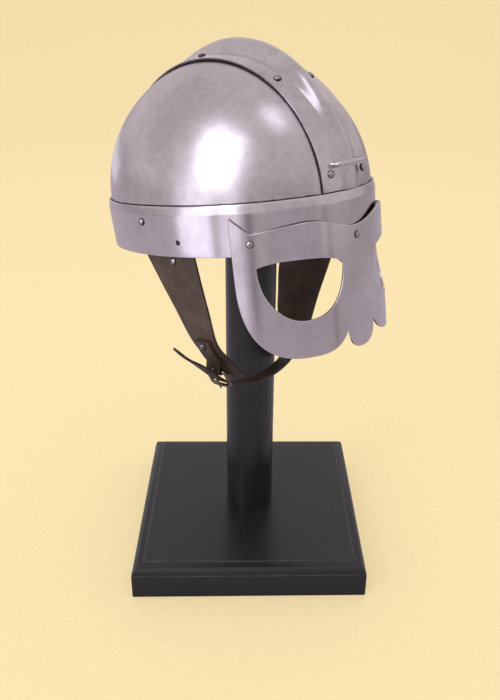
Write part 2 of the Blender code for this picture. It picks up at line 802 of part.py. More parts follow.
def buckled_line(left_edges):
    rows = []
    for across, pulled_in, along, down, twist in BUCKLED_ROUTE:
        x = across * BAND_HALF_WIDTH + pulled_in * STRAP_PINCH
        rows.append((x, along * STRAP_TOP_WIDTH, -down * STRAP_DROP_LEFT, twist))
    inside = -(LEATHER / 2 + CURVED_FIT_GAP + BUCKLED_LEATHER / 2)
    for drop in JOIN_DROPS:
        point, outwards, _ = strap_seat(left_edges, 1, JOIN_REAR, drop, inside)
        rows.append((*point, degrees(atan2(outwards.y, outwards.x))))
    return [(Vector(row[:3]), radians(row[3])) for row in smooth_rows(rows, BUCKLED_STEPS)]


def make_buckled_strap(line, collection, material, parent):
    edges = []
    for point, twist in line:
        half = Vector((-sin(twist), cos(twist), 0)) * BUCKLED_WIDTH / 2
        edges.append((point - half, point + half))
    return make_ribbon(
        "strap_buckled", edges, 1, BUCKLED_LEATHER, collection, material, parent
    )


def buckle_frame_matrix(line):
    # At the buckle, X runs along the strap towards its free end, Y across it, Z outwards. The
    # frame is tilted, so that the hinge bar at +X lies inside the strap and the far bar outside.
    points = [point for point, _ in line]
    wanted = BUCKLE_IN * STRAP_PINCH - BAND_HALF_WIDTH
    middle = min(range(len(points)), key=lambda i: abs(points[i].x - wanted))
    along = (points[middle - 1] - points[middle + 1]).normalized()
    across = Vector((0, 1, 0))
    outwards = along.cross(across).normalized()
    turn = Matrix((along, across, outwards)).transposed().to_4x4()
    place_at = Matrix.Translation(points[middle] - outwards * BUCKLE_LIFT)
    return place_at @ turn @ Matrix.Rotation(radians(BUCKLE_TILT), 4, "Y")


def rounded_rectangle(half_x, half_y, corner, steps):
    points = []
    for sx, sy, start in ((1, 1, 0), (-1, 1, 90), (-1, -1, 180), (1, -1, 270)):
        for i in range(steps + 1):
            angle = radians(start + 90 * i / steps)
            x = sx * (half_x - corner) + corner * cos(angle)
            y = sy * (half_y - corner) + corner * sin(angle)
            points.append(Vector((x, y, 0)))
    return points


def make_wire(name, points, radius, closed, collection, material, parent):
    curve = bpy.data.curves.new(name, "CURVE")
    curve.dimensions = "3D"
    curve.bevel_depth = radius
    curve.bevel_resolution = 1
    curve.use_fill_caps = not closed
    spline = curve.splines.new("POLY")
    spline.points.add(len(points) - 1)
    for target, point in zip(spline.points, points):
        target.co = (*point, 1)
    spline.use_cyclic_u = closed
    item = bpy.data.objects.new(name, curve)
    return place(item, collection, material, parent)


def make_chape(frame, edges, collection, material, parent):
    # A tongue folded round the hinge bar: both of its layers lie on the right strap's outer face.
    bar = frame @ Vector((BUCKLE_LENGTH / 2, 0, 0))
    inner = LEATHER / 2 + FIT_GAP + CHAPE_LEATHER / 2
    outer = inner + CHAPE_LEATHER + FIT_GAP
    drops_down = [BUCKLE_DOWN * STRAP_DROP_LEFT - rise for rise in CHAPE_RISES]
    layers = []
    for lift, drops in ((outer, drops_down), (inner, drops_down[::-1])):
        rows = []
        for drop in drops:
            point, _, across = strap_seat(edges, -1, CHAPE_REAR, drop, lift)
            rows.append((point, across))
        layers.append(rows)
    bend = BUCKLE_WIRE_RADIUS + FIT_GAP + CHAPE_LEATHER / 2
    fold = []
    for turn in CHAPE_FOLD_TURNS:
        angle = radians(turn)
        point = Vector((bar.x + bend * cos(angle), CHAPE_REAR, bar.z + bend * sin(angle)))
        fold.append((point, Vector((0, 1, 0))))
    path = layers[0] + fold + layers[1]
    half = CHAPE_WIDTH / 2
    sides = [(point - across * half, point + across * half) for point, across in path]
    return make_ribbon("strap_chape", sides, 1, CHAPE_LEATHER, collection, material, parent)


def make_prong(frame, collection, material, parent):
    # A straight pin that rests on the far bar and hooks round the hinge bar.
    hinge = BUCKLE_LENGTH / 2
    rest = BUCKLE_WIRE_RADIUS + FIT_GAP + PRONG_RADIUS
    points = [Vector((-hinge - PRONG_TIP, 0, rest)), Vector((0, 0, rest))]
    for i in range(PRONG_HOOK_STEPS + 1):
        angle = radians(90 - PRONG_HOOK_TURN * i / PRONG_HOOK_STEPS)
        points.append(Vector((hinge + rest * cos(angle), 0, rest * sin(angle))))
    path = [frame @ point for point in points]
    return make_wire("buckle_prong", path, PRONG_RADIUS, False, collection, material, parent)


def make_slot(name, frame, ends, collection, parent):
    # A cutter in the buckle's own frame, for the gap that the prong needs in the leather.
    first, last, low, high = ends
    first += BUCKLE_LENGTH / 2
    last += BUCKLE_LENGTH / 2
    bm = bmesh.new()
    size = Matrix.Diagonal((last - first, PRONG_SLOT_WIDTH, high - low, 1))
    middle = Matrix.Translation(((first + last) / 2, 0, (low + high) / 2))
    bmesh.ops.create_cube(bm, size=1.0, matrix=frame @ middle @ size)
    return as_cutter(finish_mesh(name, bm), collection, parent)


def make_staple(collection, material, parent):
    # Two legs stand on the flanges and a straight bar joins them over the rib.
    z = BAND_HEIGHT + STAPLE_RISE
    foot = skull_front_at_height(STAPLE_HALF_SPAN, z)
    normal = skull_normal(foot)
    foot = foot + normal * (CURVED_FIT_GAP + PLATE + STAPLE_FOOT_GAP)
    front = foot.y - STAPLE_STAND_OFF
    points = [Vector((STAPLE_HALF_SPAN, foot.y, z))]
    for i in range(5):
        angle = radians(90 * i / 4)
        x = STAPLE_HALF_SPAN - STAPLE_CORNER * (1 - cos(angle))
        y = front + STAPLE_CORNER * (1 - sin(angle))
        points.append(Vector((x, y, z)))
    points += [Vector((-p.x, p.y, p.z)) for p in reversed(points)]
    return make_wire("front_staple", points, STAPLE_WIRE_RADIUS, False, collection, material, parent)


def make_base(collection, material):
    # A square moulding is a turned profile with four steps: its corners lie a root of two out.
    corner = sqrt(2)
    half = BASE_SIDE / 2
    rise = BASE_HEIGHT - BASE_EDGE_HEIGHT
    profile = [(0.0, BASE_HEIGHT), (half - BASE_MOULDING, BASE_HEIGHT)]
    drop = rise - 2 * BASE_STEP
    reach = BASE_MOULDING - 2 * BASE_STEP
    for i in range(6):
        angle = radians(90 * i / 5)
        x = half - BASE_MOULDING + BASE_STEP + reach * sin(angle)
        z = BASE_HEIGHT - BASE_STEP - drop * (1 - cos(angle))
        profile.append((x, z))
    profile += [(half - BASE_STEP, BASE_EDGE_HEIGHT), (half, BASE_EDGE_HEIGHT)]
    profile += [(half, 0.0), (0.0, 0.0)]
    bm = bmesh.new()
    verts = [bm.verts.new((x * corner, 0, z)) for x, z in profile]
    for first, second in zip(verts, verts[1:]):
        bm.edges.new((first, second))
    mesh = bpy.data.meshes.new("stand_base")
    bm.to_mesh(mesh)
    bm.free()
    base = bpy.data.objects.new("stand_base", mesh)
    base.rotation_euler.z = radians(BASE_TURN + 45)
    place(base, collection, material)
    modifier = base.modifiers.new("Turn", "SCREW")
    modifier.axis = "Z"
    modifier.steps = 4
    modifier.render_steps = 4
    modifier.use_merge_vertices = True
    modifier.merge_threshold = 0.00001
    modifier.use_smooth_shade = False
    return base


def make_post(collection, material):
    low = BASE_HEIGHT + FIT_GAP
    high = HEAD_BOTTOM - FIT_GAP
    bm = bmesh.new()
    bmesh.ops.create_cone(
        bm,
        cap_ends=True,
        segments=POST_SIDES,
        radius1=POST_RADIUS,
        radius2=POST_RADIUS,
        depth=high - low,
    )
    post = finish_mesh("stand_post", bm, 30)
    post.location.z = (low + high) / 2
    return place(post, collection, material)


def make_stand_head(collection, cutters, material, parent):
    # The pad fills the top of the skull's hollow, cut off by an upright cylinder about the post.
    inset = SKULL_INSET + PLATE + CURVED_FIT_GAP + RIVET_TAIL_RELIEF
    bm = hemisphere(ROUND_STEPS, CROWN_ROWS, 0)
    for vert in bm.verts:
        vert.co = skull_point(vert.co, inset)
    rim = [edge for edge in bm.edges if edge.is_boundary]
    bmesh.ops.contextual_create(bm, geom=rim)
    head = finish_mesh("stand_head", bm, 30)
    place(head, collection, material, parent)

    tall = RIM_HEIGHT + BAND_HEIGHT + CROWN_RISE - HEAD_BOTTOM + HEAD_TRIM_MARGIN
    bm = bmesh.new()
    bmesh.ops.create_cone(
        bm,
        cap_ends=True,
        segments=POST_SIDES,
        radius1=HEAD_RADIUS,
        radius2=HEAD_RADIUS,
        depth=tall,
        matrix=Matrix.Translation((0, 0, HEAD_BOTTOM + tall / 2)),
    )
    cutter = as_cutter(finish_mesh("head_trim", bm), cutters)
    add_boolean(head, "INTERSECT", cutter)
    return head


def make_strap_rivets(edges, collection, steel, parent, holes):
    # Each wide strap hangs on a flush rivet through the band and has a domed rivet in its hem.
    # One more holds the chape, and one the narrow strap.
    flush_grip = PLATE + BAND_TAPER + LEATHER + 5 * FIT_GAP
    flush = rivet_mesh("flush_rivet", flush_grip, FLUSH_HEAD_RADIUS, FLUSH_HEAD_HEIGHT)
    head = RIVET_HEAD_RADIUS * SMALL_RIVET_SHARE
    height = RIVET_HEAD_HEIGHT * SMALL_RIVET_SHARE
    over = LEATHER / 2 + FIT_GAP
    hem = rivet_mesh("hem_rivet", LEATHER + 2 * CURVED_FIT_GAP, head, height)
    over_hem = LEATHER / 2 + CURVED_FIT_GAP
    for side, label in ((-1, "right"), (1, "left")):
        x = side * oval_half_width_at(STRAP_FLUSH_REAR, band_inset_at(STRAP_FLUSH_RISE))
        outwards = oval_normal(x, STRAP_FLUSH_REAR)
        point = Vector((x, STRAP_FLUSH_REAR, STRAP_FLUSH_RISE)) + outwards * FIT_GAP
        make_rivet(f"strap_flush_rivet_{label}", frame_on(point, outwards), flush,
                   collection, steel, parent, holes)
        point, outwards, _ = strap_seat(
            edges[side], side, STRAP_HEM_REAR, STRAP_HEM_DROP, over_hem
        )
        make_rivet(f"strap_hem_rivet_{label}", frame_on(point, outwards), hem,
                   collection, steel, parent, holes)

    folded = 2 * (CHAPE_LEATHER + FIT_GAP)
    chape = rivet_mesh("chape_rivet", LEATHER + folded + 2 * FIT_GAP, head, height)
    drop = BUCKLE_DOWN * STRAP_DROP_LEFT - CHAPE_RIVET_RISE
    point, outwards, _ = strap_seat(edges[-1], -1, CHAPE_REAR, drop, over + folded)
    make_rivet("chape_rivet", frame_on(point, outwards), chape, collection, steel, parent, holes)

    joined = LEATHER + BUCKLED_LEATHER + 3 * CURVED_FIT_GAP
    join = rivet_mesh("join_rivet", joined, head, height)
    point, outwards, _ = strap_seat(edges[1], 1, JOIN_REAR, JOIN_RIVET_DROP, over)
    make_rivet("join_rivet", frame_on(point, outwards), join, collection, steel, parent, holes)


def main():
    clear_scene()
    parts = new_collection("spectacle guard helmet on a display stand")
    cutters = new_collection("cutters")
    steel = new_material("brushed steel", (0.62, 0.59, 0.62), 0.3, 1.0)
    rivet_steel = new_material("rivet steel", (0.45, 0.43, 0.44), 0.3, 1.0)
    leather = new_material("brown leather", (0.09, 0.055, 0.035), 0.6, 0.0)
    buckle_metal = new_material("aged buckle metal", (0.40, 0.33, 0.24), 0.35, 1.0)
    black_wood = new_material("black painted wood", (0.012, 0.011, 0.010), 0.35, 0.0)

    helmet = bpy.data.objects.new("helmet_lean", None)
    helmet.rotation_mode = "YXZ"
    helmet.location = (HELMET_RIGHT, HELMET_REAR, RIM_HEIGHT)
    helmet.rotation_euler = (radians(LEAN_BACK), radians(LEAN_SIDE), 0)
    place(helmet, parts)

    bowls = [
        make_bowl("bowl_right", -1, parts, steel, helmet),
        make_bowl("bowl_left", 1, parts, steel, helmet),
    ]
    comb = make_comb(parts, steel, helmet)
    band = make_band(parts, steel, helmet)
    guard = make_guard(parts, cutters, steel, helmet)
    make_staple(parts, steel, helmet)

    right_edges = strap_edges(-1, STRAP_RIGHT_ROWS, STRAP_DROP_RIGHT)
    left_edges = strap_edges(1, STRAP_LEFT_ROWS, STRAP_DROP_LEFT)
    strap_right = make_ribbon(
        "strap_right", right_edges, STRAP_ACROSS, LEATHER, parts, leather, helmet, follow_band(-1)
    )
    strap_left = make_ribbon(
        "strap_left", left_edges, STRAP_ACROSS, LEATHER, parts, leather, helmet, follow_band(1)
    )
    line = buckled_line(left_edges)
    buckled = make_buckled_strap(line, parts, leather, helmet)

    frame = buckle_frame_matrix(line)
    ring = rounded_rectangle(BUCKLE_LENGTH / 2, BUCKLE_WIDTH / 2, BUCKLE_CORNER, 3)
    make_wire("buckle_frame", [frame @ p for p in ring], BUCKLE_WIRE_RADIUS, True,
              parts, buckle_metal, helmet)
    chape = make_chape(frame, right_edges, parts, leather, helmet)
    make_prong(frame, parts, buckle_metal, helmet)
    chape_slot = make_slot("chape_slot", frame, CHAPE_SLOT, cutters, helmet)
    add_boolean(chape, "DIFFERENCE", chape_slot)
    strap_slot = make_slot("strap_slot", frame, STRAP_SLOT, cutters, helmet)
    add_boolean(buckled, "DIFFERENCE", strap_slot)

    holes = []
    grip = 2 * CURVED_FIT_GAP + 2 * PLATE + 2 * FIT_GAP
    dome_rivet = rivet_mesh("dome_rivet", grip, RIVET_HEAD_RADIUS, RIVET_HEAD_HEIGHT)
    for name, seat in comb_rivet_seats():
        make_rivet(name, seat, dome_rivet, parts, rivet_steel, helmet, holes)

    band_grip = SKULL_INSET + PLATE + FIT_GAP + CURVED_FIT_GAP
    band_rivet = rivet_mesh("band_rivet", band_grip, RIVET_HEAD_RADIUS, RIVET_HEAD_HEIGHT)
    for side, label in ((-1, "right"), (1, "left")):
        inset = band_inset_at(BAND_RIVET_RISE)
        x = side * oval_half_width_at(BAND_RIVET_REAR, inset)
        outwards = oval_normal(x, BAND_RIVET_REAR)
        point = Vector((x, BAND_RIVET_REAR, BAND_RIVET_RISE)) + outwards * FIT_GAP
        make_rivet(f"band_rivet_{label}", frame_on(point, outwards), band_rivet,
                   parts, rivet_steel, helmet, holes)

    guard_grip = GUARD_PLATE + BAND_TAPER + PLATE + 4 * FIT_GAP
    guard_rivet = rivet_mesh("guard_rivet", guard_grip, RIVET_HEAD_RADIUS, RIVET_HEAD_HEIGHT)
    for x, z, label in (
        (-GUARD_RIVET_OUT, GUARD_RIVET_RISE, "right"),
        (0.0, NOSE_RIVET_RISE, "nose"),
        (GUARD_RIVET_OUT, GUARD_RIVET_RISE, "left"),
    ):
        point, outwards = guard_face_at(x)
        point = Vector((point.x, point.y, z)) + outwards * FIT_GAP
        make_rivet(f"guard_rivet_{label}", frame_on(point, outwards), guard_rivet,
                   parts, rivet_steel, helmet, holes)
    edges = {-1: right_edges, 1: left_edges}
    make_strap_rivets(edges, parts, rivet_steel, helmet, holes)

    drills = make_rivet_holes(holes, DRILL_REACH, cutters, helmet)
    for plate in (*bowls, comb, band, guard, strap_right, strap_left, chape, buckled):
        add_boolean(plate, "DIFFERENCE", drills)

    make_base(parts, black_wood)
    make_post(parts, black_wood)
    make_stand_head(parts, cutters, black_wood, helmet)


main()
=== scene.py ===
# Spectacle guard helmet on its stand: polished steel sheet, worn leather and black painted wood.
# Metres, +Z up. The helmet faces -Y. Helmet pieces are made upright about the middle of the lower
# rim and then leaned back with one matrix, as the frame has them.

from math import asin, atan2, cos, degrees, pi, radians, sin, sqrt

import bmesh
import bpy
from mathutils import Matrix, Vector


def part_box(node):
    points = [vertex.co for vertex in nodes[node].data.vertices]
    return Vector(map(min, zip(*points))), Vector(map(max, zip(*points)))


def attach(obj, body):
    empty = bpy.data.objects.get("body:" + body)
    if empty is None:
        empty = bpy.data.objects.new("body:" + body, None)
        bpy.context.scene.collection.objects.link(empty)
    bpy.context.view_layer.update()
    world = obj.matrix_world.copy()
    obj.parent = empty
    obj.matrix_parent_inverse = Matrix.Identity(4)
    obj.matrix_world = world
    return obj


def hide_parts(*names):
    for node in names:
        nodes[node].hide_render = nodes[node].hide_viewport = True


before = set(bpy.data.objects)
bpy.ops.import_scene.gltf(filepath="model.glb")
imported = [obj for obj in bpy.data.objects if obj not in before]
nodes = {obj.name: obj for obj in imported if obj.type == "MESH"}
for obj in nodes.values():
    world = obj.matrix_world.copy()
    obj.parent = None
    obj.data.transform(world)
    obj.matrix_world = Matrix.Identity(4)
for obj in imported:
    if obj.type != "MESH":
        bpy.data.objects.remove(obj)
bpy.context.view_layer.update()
print("frame loaded:", len(nodes), "nodes")

seat = {"right": -0.0062, "rear": 0.0049, "rim": 0.2946, "leanBack": -10.2, "leanSide": 1.67}
lean = (
    Matrix.Translation((seat["right"], seat["rear"], seat["rim"]))
    @ Matrix.Rotation(radians(seat["leanBack"]), 4, "X")
    @ Matrix.Rotation(radians(seat["leanSide"]), 4, "Y")
)

gap = 0.0003
curvedGap = 0.0006
plate = 0.0016
creaseAngle = 50



def addPiece(name, data):
    item = bpy.data.objects.new(name, data)
    bpy.context.scene.collection.objects.link(item)
    return item


def quarterTurns(count):
    return [radians(90 * i / count) for i in range(count + 1)]


def pairsOf(items, closed=False):
    return list(zip(items, items[1:])) + ([(items[-1], items[0])] if closed else [])


def fillGrid(bm, rows, closed=False):
    for a, b in pairsOf(rows, closed):
        for i in range(len(a) - 1):
            bm.faces.new((a[i], a[i + 1], b[i + 1], b[i]))


def connect(tree, source, target):
    if isinstance(source, (int, float, tuple)):
        target.default_value = source
    else:
        tree.links.new(source, target)


def calc(tree, operation, first, *others):
    # One operation along a row of values: each result meets the next value.
    for value in others or (0.0,):
        node = tree.nodes.new("ShaderNodeMath")
        node.operation = operation
        connect(tree, first, node.inputs[0])
        connect(tree, value, node.inputs[1])
        first = node.outputs[0]
    return first


def remap(tree, value, fromLow, fromHigh, toLow=0.0, toHigh=1.0):
    node = tree.nodes.new("ShaderNodeMapRange")
    for source, label in (
        (value, "Value"), (fromLow, "From Min"), (fromHigh, "From Max"),
        (toLow, "To Min"), (toHigh, "To Max"),
    ):
        connect(tree, source, node.inputs[label])
    return node.outputs["Result"]


def addNoise(tree, vector, scale, detail, roughness=0.55):
    noise = tree.nodes.new("ShaderNodeTexNoise")
    noise.inputs["Detail"].default_value = detail
    noise.inputs["Roughness"].default_value = roughness
    tree.links.new(vector, noise.inputs["Vector"])
    connect(tree, scale, noise.inputs["Scale"])
    return noise.outputs["Fac"]


def stretch(tree, vector, scale):
    node = tree.nodes.new("ShaderNodeMapping")
    tree.links.new(vector, node.inputs["Vector"])
    connect(tree, scale, node.inputs["Scale"])
    return node.outputs["Vector"]


def mixColour(tree, factor, first, second):
    node = tree.nodes.new("ShaderNodeMix")
    node.data_type = "RGBA"
    connect(tree, factor, node.inputs["Factor"])
    connect(tree, first, node.inputs[6])
    connect(tree, second, node.inputs[7])
    return node.outputs[2]


def splitPlace(tree, place):
    split = tree.nodes.new("ShaderNodeSeparateXYZ")
    tree.links.new(place, split.inputs["Vector"])
    return split.outputs


def shaderGroup(name, inputs, outputs=("Shade", "Roughness", "Height")):
    # Each group is also given the place on the piece; all that comes out is numbers.
    group = bpy.data.node_groups.new(name, "ShaderNodeTree")
    group.interface.new_socket("Place", in_out="INPUT", socket_type="NodeSocketVector")
    for label, value in inputs.items():
        kind = "NodeSocketFloat" if isinstance(value, float) else "NodeSocketVector"
        socket = group.interface.new_socket(label, in_out="INPUT", socket_type=kind)
        socket.default_value = value
    for label in outputs:
        group.interface.new_socket(label, in_out="OUTPUT", socket_type="NodeSocketFloat")
    entry = group.nodes.new("NodeGroupInput")
    leave = group.nodes.new("NodeGroupOutput")
    return group, entry.outputs, leave.inputs


def sendOut(group, leave, *values):
    for value, socket in zip(values, leave):
        group.links.new(value, socket)
    return group


# ---- in the looks of the groups a noise is size, detail and roughness,
# ---- and a range is from, to and what those two become
sheetLook = {
    "stains": (7.0, 0.62), "stainRange": (0.35, 0.75, 0.0, 0.75),
    "specks": (190.0, 6.0, 0.7), "speckRange": (0.35, 0.7, 0.0, 0.35),
    "levelLines": (60.0, 60.0, 900.0), "levelNoise": (1.0, 3.0),
    "crossLines": (700.0, 500.0, 80.0), "crossNoise": (1.0, 2.0),
    "waves": (24.0, 1.0), "stainRough": 0.06, "lineRough": 0.05,
}


def makeSheetWear(look):
    # Hand-polished sheet: soft hammer waves, fine polishing lines and faint stains.
    group, entry, leave = shaderGroup(
        "polished sheet wear",
        {"Stain Size": 14.0, "Wave": 0.3, "Smoothness": 0.2, "Lines": 0.05},
    )
    place = entry["Place"]
    stains = addNoise(group, place, entry["Stain Size"], *look["stains"])
    specks = addNoise(group, place, *look["specks"])
    spots = calc(group, "ADD", remap(group, stains, *look["stainRange"]),
                 remap(group, specks, *look["speckRange"]))
    spots = calc(group, "MINIMUM", spots, 1.0)
    level = addNoise(group, stretch(group, place, look["levelLines"]), *look["levelNoise"])
    cross = addNoise(group, stretch(group, place, look["crossLines"]), *look["crossNoise"])
    lines = calc(group, "MULTIPLY", calc(group, "ADD", level, cross), entry["Lines"])
    waves = calc(group, "MULTIPLY", addNoise(group, place, *look["waves"]), entry["Wave"])
    rough = calc(group, "ADD", calc(group, "MULTIPLY", spots, look["stainRough"]),
                 entry["Smoothness"], calc(group, "MULTIPLY", level, look["lineRough"]))
    return sendOut(group, leave, calc(group, "SUBTRACT", 1.0, spots), rough,
                   calc(group, "ADD", waves, lines))


hideLook = {
    "poreSize": 1100.0, "poreRange": (0.0, 0.6, 0.0, 0.35),
    "creaseStretch": (1.0, 1.0, 0.35), "creases": (110.0, 6.0, 0.65), "creaseShade": 0.24,
    "patches": (32.0, 5.0, 0.6), "patchRange": (0.35, 0.7), "patchRough": (0.0, 1.0, 0.62, 0.42),
    "relief": (0.45, 0.0004), "shine": 0.4,
}


def makeHideGrain(look):
    # Leather: small pores, long creases and handled patches.
    group, entry, leave = shaderGroup("hide grain", {"Handled": 0.5})
    place = entry["Place"]
    pores = group.nodes.new("ShaderNodeTexVoronoi")
    pores.inputs["Scale"].default_value = look["poreSize"]
    group.links.new(place, pores.inputs["Vector"])
    creases = addNoise(group, stretch(group, place, look["creaseStretch"]), *look["creases"])
    patches = remap(group, addNoise(group, place, *look["patches"]), *look["patchRange"])
    shade = calc(group, "ADD", calc(group, "MULTIPLY", patches, entry["Handled"]),
                 calc(group, "MULTIPLY", creases, look["creaseShade"]))
    depth = remap(group, pores.outputs["Distance"], *look["poreRange"])
    return sendOut(group, leave, shade, remap(group, patches, *look["patchRough"]),
                   calc(group, "ADD", depth, creases))


paintLook = {
    "grain": (1.0, 5.0, 0.6), "clouds": (18.0, 4.0), "cloudShade": 0.5,
    "cloudRough": (0.3, 0.7, 0.24, 0.40), "specks": (700.0, 2.0),
    "dustRange": (0.62, 0.74, 0.0, 0.35), "speckHeight": 0.4,
    "relief": (0.35, 0.0004), "shine": 0.45,
}


def makePaintedGrain(look):
    # Wood grain that shows faintly through satin paint, with brush marks and fine dust.
    group, entry, leave = shaderGroup("painted grain", {"Grain": (40.0, 400.0, 400.0)})
    place = entry["Place"]
    grain = addNoise(group, stretch(group, place, entry["Grain"]), *look["grain"])
    clouds = addNoise(group, place, *look["clouds"])
    specks = addNoise(group, place, *look["specks"])
    shade = calc(group, "ADD", calc(group, "MULTIPLY", clouds, look["cloudShade"]),
                 remap(group, specks, *look["dustRange"]))
    height = calc(group, "ADD", grain, calc(group, "MULTIPLY", specks, look["speckHeight"]))
    return sendOut(group, leave, shade, remap(group, clouds, *look["cloudRough"]), height)


seamShadeLook = {"uneven": (160.0, 4.0), "unevenRange": (0.3, 0.7, 0.6, 1.3), "fullShare": 0.5}


def makeSeamShade(look):
    # Painted shade in a narrow dark line, where Distance is near nothing.
    group, entry, leave = shaderGroup(
        "painted seam shade", {"Distance": 1.0, "Width": 0.001}, outputs=("Mask",)
    )
    uneven = remap(group, addNoise(group, entry["Place"], *look["uneven"]), *look["unevenRange"])
    width = calc(group, "MULTIPLY", entry["Width"], uneven)
    full = calc(group, "MULTIPLY", width, look["fullShare"])
    return sendOut(group, leave, remap(group, entry["Distance"], full, width, 1.0, 0.0))


def newMaterial(name):
    material = bpy.data.materials.new(name)
    material.use_nodes = True
    return material, material.node_tree, material.node_tree.nodes["Principled BSDF"]


def addGroup(tree, group, place, values):
    node = tree.nodes.new("ShaderNodeGroup")
    node.node_tree = group
    for label, value in {"Place": place, **values}.items():
        connect(tree, value, node.inputs[label])
    return node.outputs


def makeSurface(name, group, values, low, high, relief, sockets):
    # A material whose group says its shade between two colours, its roughness and its relief.
    material, tree, shader = newMaterial(name)
    place = tree.nodes.new("ShaderNodeTexCoord").outputs["Object"]
    surface = addGroup(tree, group, place, values)
    bump = tree.nodes.new("ShaderNodeBump")
    bump.inputs["Strength"].default_value, bump.inputs["Distance"].default_value = relief
    colour = mixColour(tree, surface["Shade"], low, high)
    tree.links.new(colour, shader.inputs["Base Color"])
    tree.links.new(surface["Roughness"], shader.inputs["Roughness"])
    tree.links.new(surface["Height"], bump.inputs["Height"])
    tree.links.new(bump.outputs["Normal"], shader.inputs["Normal"])
    for label, value in sockets.items():
        shader.inputs[label].default_value = value
    return material


def layOver(material, colour, makeMask, *measures):
    # A colour over a finished material where the mask says.
    tree = material.node_tree
    target = tree.nodes["Principled BSDF"].inputs["Base Color"]
    place = tree.nodes["Texture Coordinate"].outputs["Object"]
    mask = makeMask(tree, place, splitPlace(tree, place), *measures)
    tree.links.new(mixColour(tree, mask, target.links[0].from_socket, colour), target)


sheetWear = makeSheetWear(sheetLook)
hideGrain = makeHideGrain(hideLook)
paintedGrain = makePaintedGrain(paintLook)
seamShade = makeSeamShade(seamShadeLook)

silver = (0.755, 0.675, 0.710, 1.0)
dull = (0.440, 0.375, 0.375, 1.0)
faint = (0.570, 0.495, 0.520, 1.0)
# painted shade: the dark of the lines at the seams, round the rivets' feet and on the comb's edge
paintedShade = (0.060, 0.048, 0.048, 1.0)
polishLines = 0.007
steelRelief = (0.5, 0.0006)
# each steel: bright and stained colour, smoothness, hammer waves, size of the stains
steels = {
    "polished steel": (silver, dull, 0.235, 1.2, 13.0),
    "bowl steel": (silver, dull, 0.235, 1.2, 13.0),
    "comb steel": (silver, dull, 0.15, 0.72, 20.0),
    "band steel": (silver, faint, 0.13, 0.6, 26.0),
    "guard steel": (silver, faint, 0.14, 0.6, 34.0),
    "rivet steel": ((0.50, 0.44, 0.47, 1.0), (0.22, 0.19, 0.20, 1.0), 0.10, 0.0, 60.0),
    # the comb's edge is dark all over: painted shade for the seam beside the comb
    "comb edge with painted shade": ((0.30, 0.26, 0.28, 1.0), paintedShade, 0.385, 0.0, 90.0),
    "aged buckle metal": ((0.34, 0.25, 0.18, 1.0), (0.060, 0.036, 0.026, 1.0), 0.22, 0.0, 150.0),
}
metal = {}
for name, (bright, stained, smoothness, wave, stainSize) in steels.items():
    metal[name] = makeSurface(
        name, sheetWear,
        {"Stain Size": stainSize, "Wave": wave, "Smoothness": smoothness, "Lines": polishLines},
        stained, bright, steelRelief, {"Metallic": 1.0},
    )

deepHide = (0.035, 0.021, 0.014, 1.0)
darkHide = (0.012, 0.008, 0.006, 1.0)
wornHide = (0.200, 0.122, 0.080, 1.0)
# each hide: deep and worn colour, how much it has been handled
hides = {
    "brown hide": (deepHide, wornHide, 0.65),
    "dark narrow strap": (darkHide, wornHide, 0.35),
    "cut leather edge": (deepHide, (0.20, 0.13, 0.085, 1.0), 0.6),
    "dark leather edge": (darkHide, (0.085, 0.045, 0.030, 1.0), 0.45),
}
hide = {
    name: makeSurface(name, hideGrain, {"Handled": handled}, deep, worn, hideLook["relief"],
                      {"Specular IOR Level": hideLook["shine"]})
    for name, (deep, worn, handled) in hides.items()
}

stand = {
    "side": 0.2000, "edgeHeight": 0.0224, "height": 0.0304, "moulding": 0.0100, "step": 0.0006,
    "turn": 43.6, "postRadius": 0.0211, "postSides": 96, "edgeRound": 0.0006, "curveSteps": 12,
    "black": (0.0100, 0.0086, 0.0086, 1.0), "worn": (0.052, 0.042, 0.040, 1.0),
    # the rubbed colour lightens the steps' edges: partly worn paint, partly a painted glint
    "rubbedAndGlint": (0.085, 0.076, 0.074, 1.0), "rubs": (70.0, 8.0, 0.7), "rubRange": (0.36, 0.66),
    "topReach": 0.0012, "edgeReach": 0.0010,
}
# each wood: how its grain is stretched
woods = {"black painted base": (35.0, 520.0, 520.0), "black painted post": (420.0, 420.0, 26.0)}
wood = {
    name: makeSurface(name, paintedGrain, {"Grain": grain}, stand["black"], stand["worn"],
                      paintLook["relief"], {"Specular IOR Level": paintLook["shine"]})
    for name, grain in woods.items()
}


def wearAndGlintMask(tree, place, split, out, height, reach):
    # Paint rubbed thin along one square step of the base: lighter there, partly worn paint and
    # partly a painted glint on the edge.
    fromMiddle = calc(tree, "MAXIMUM", calc(tree, "ABSOLUTE", split["X"]),
                      calc(tree, "ABSOLUTE", split["Y"]))
    sideways = calc(tree, "ABSOLUTE", calc(tree, "SUBTRACT", fromMiddle, out))
    upDown = calc(tree, "ABSOLUTE", calc(tree, "SUBTRACT", split["Z"], height))
    near = remap(tree, calc(tree, "MAXIMUM", sideways, upDown), 0.0, reach, 1.0, 0.0)
    worn = remap(tree, addNoise(tree, place, *stand["rubs"]), *stand["rubRange"])
    return calc(tree, "MULTIPLY", near, worn)


# Lighter lines on the two square steps: worn paint and a painted glint.
for inset, height, reach in ((stand["moulding"], stand["height"], stand["topReach"]),
                             (stand["step"] / 2, stand["edgeHeight"], stand["edgeReach"])):
    layOver(wood["black painted base"], stand["rubbedAndGlint"], wearAndGlintMask,
            stand["side"] / 2 - inset, height, reach)
print("materials made")


def signedPower(value, power):
    return (abs(value) ** power) * (1 if value >= 0 else -1)


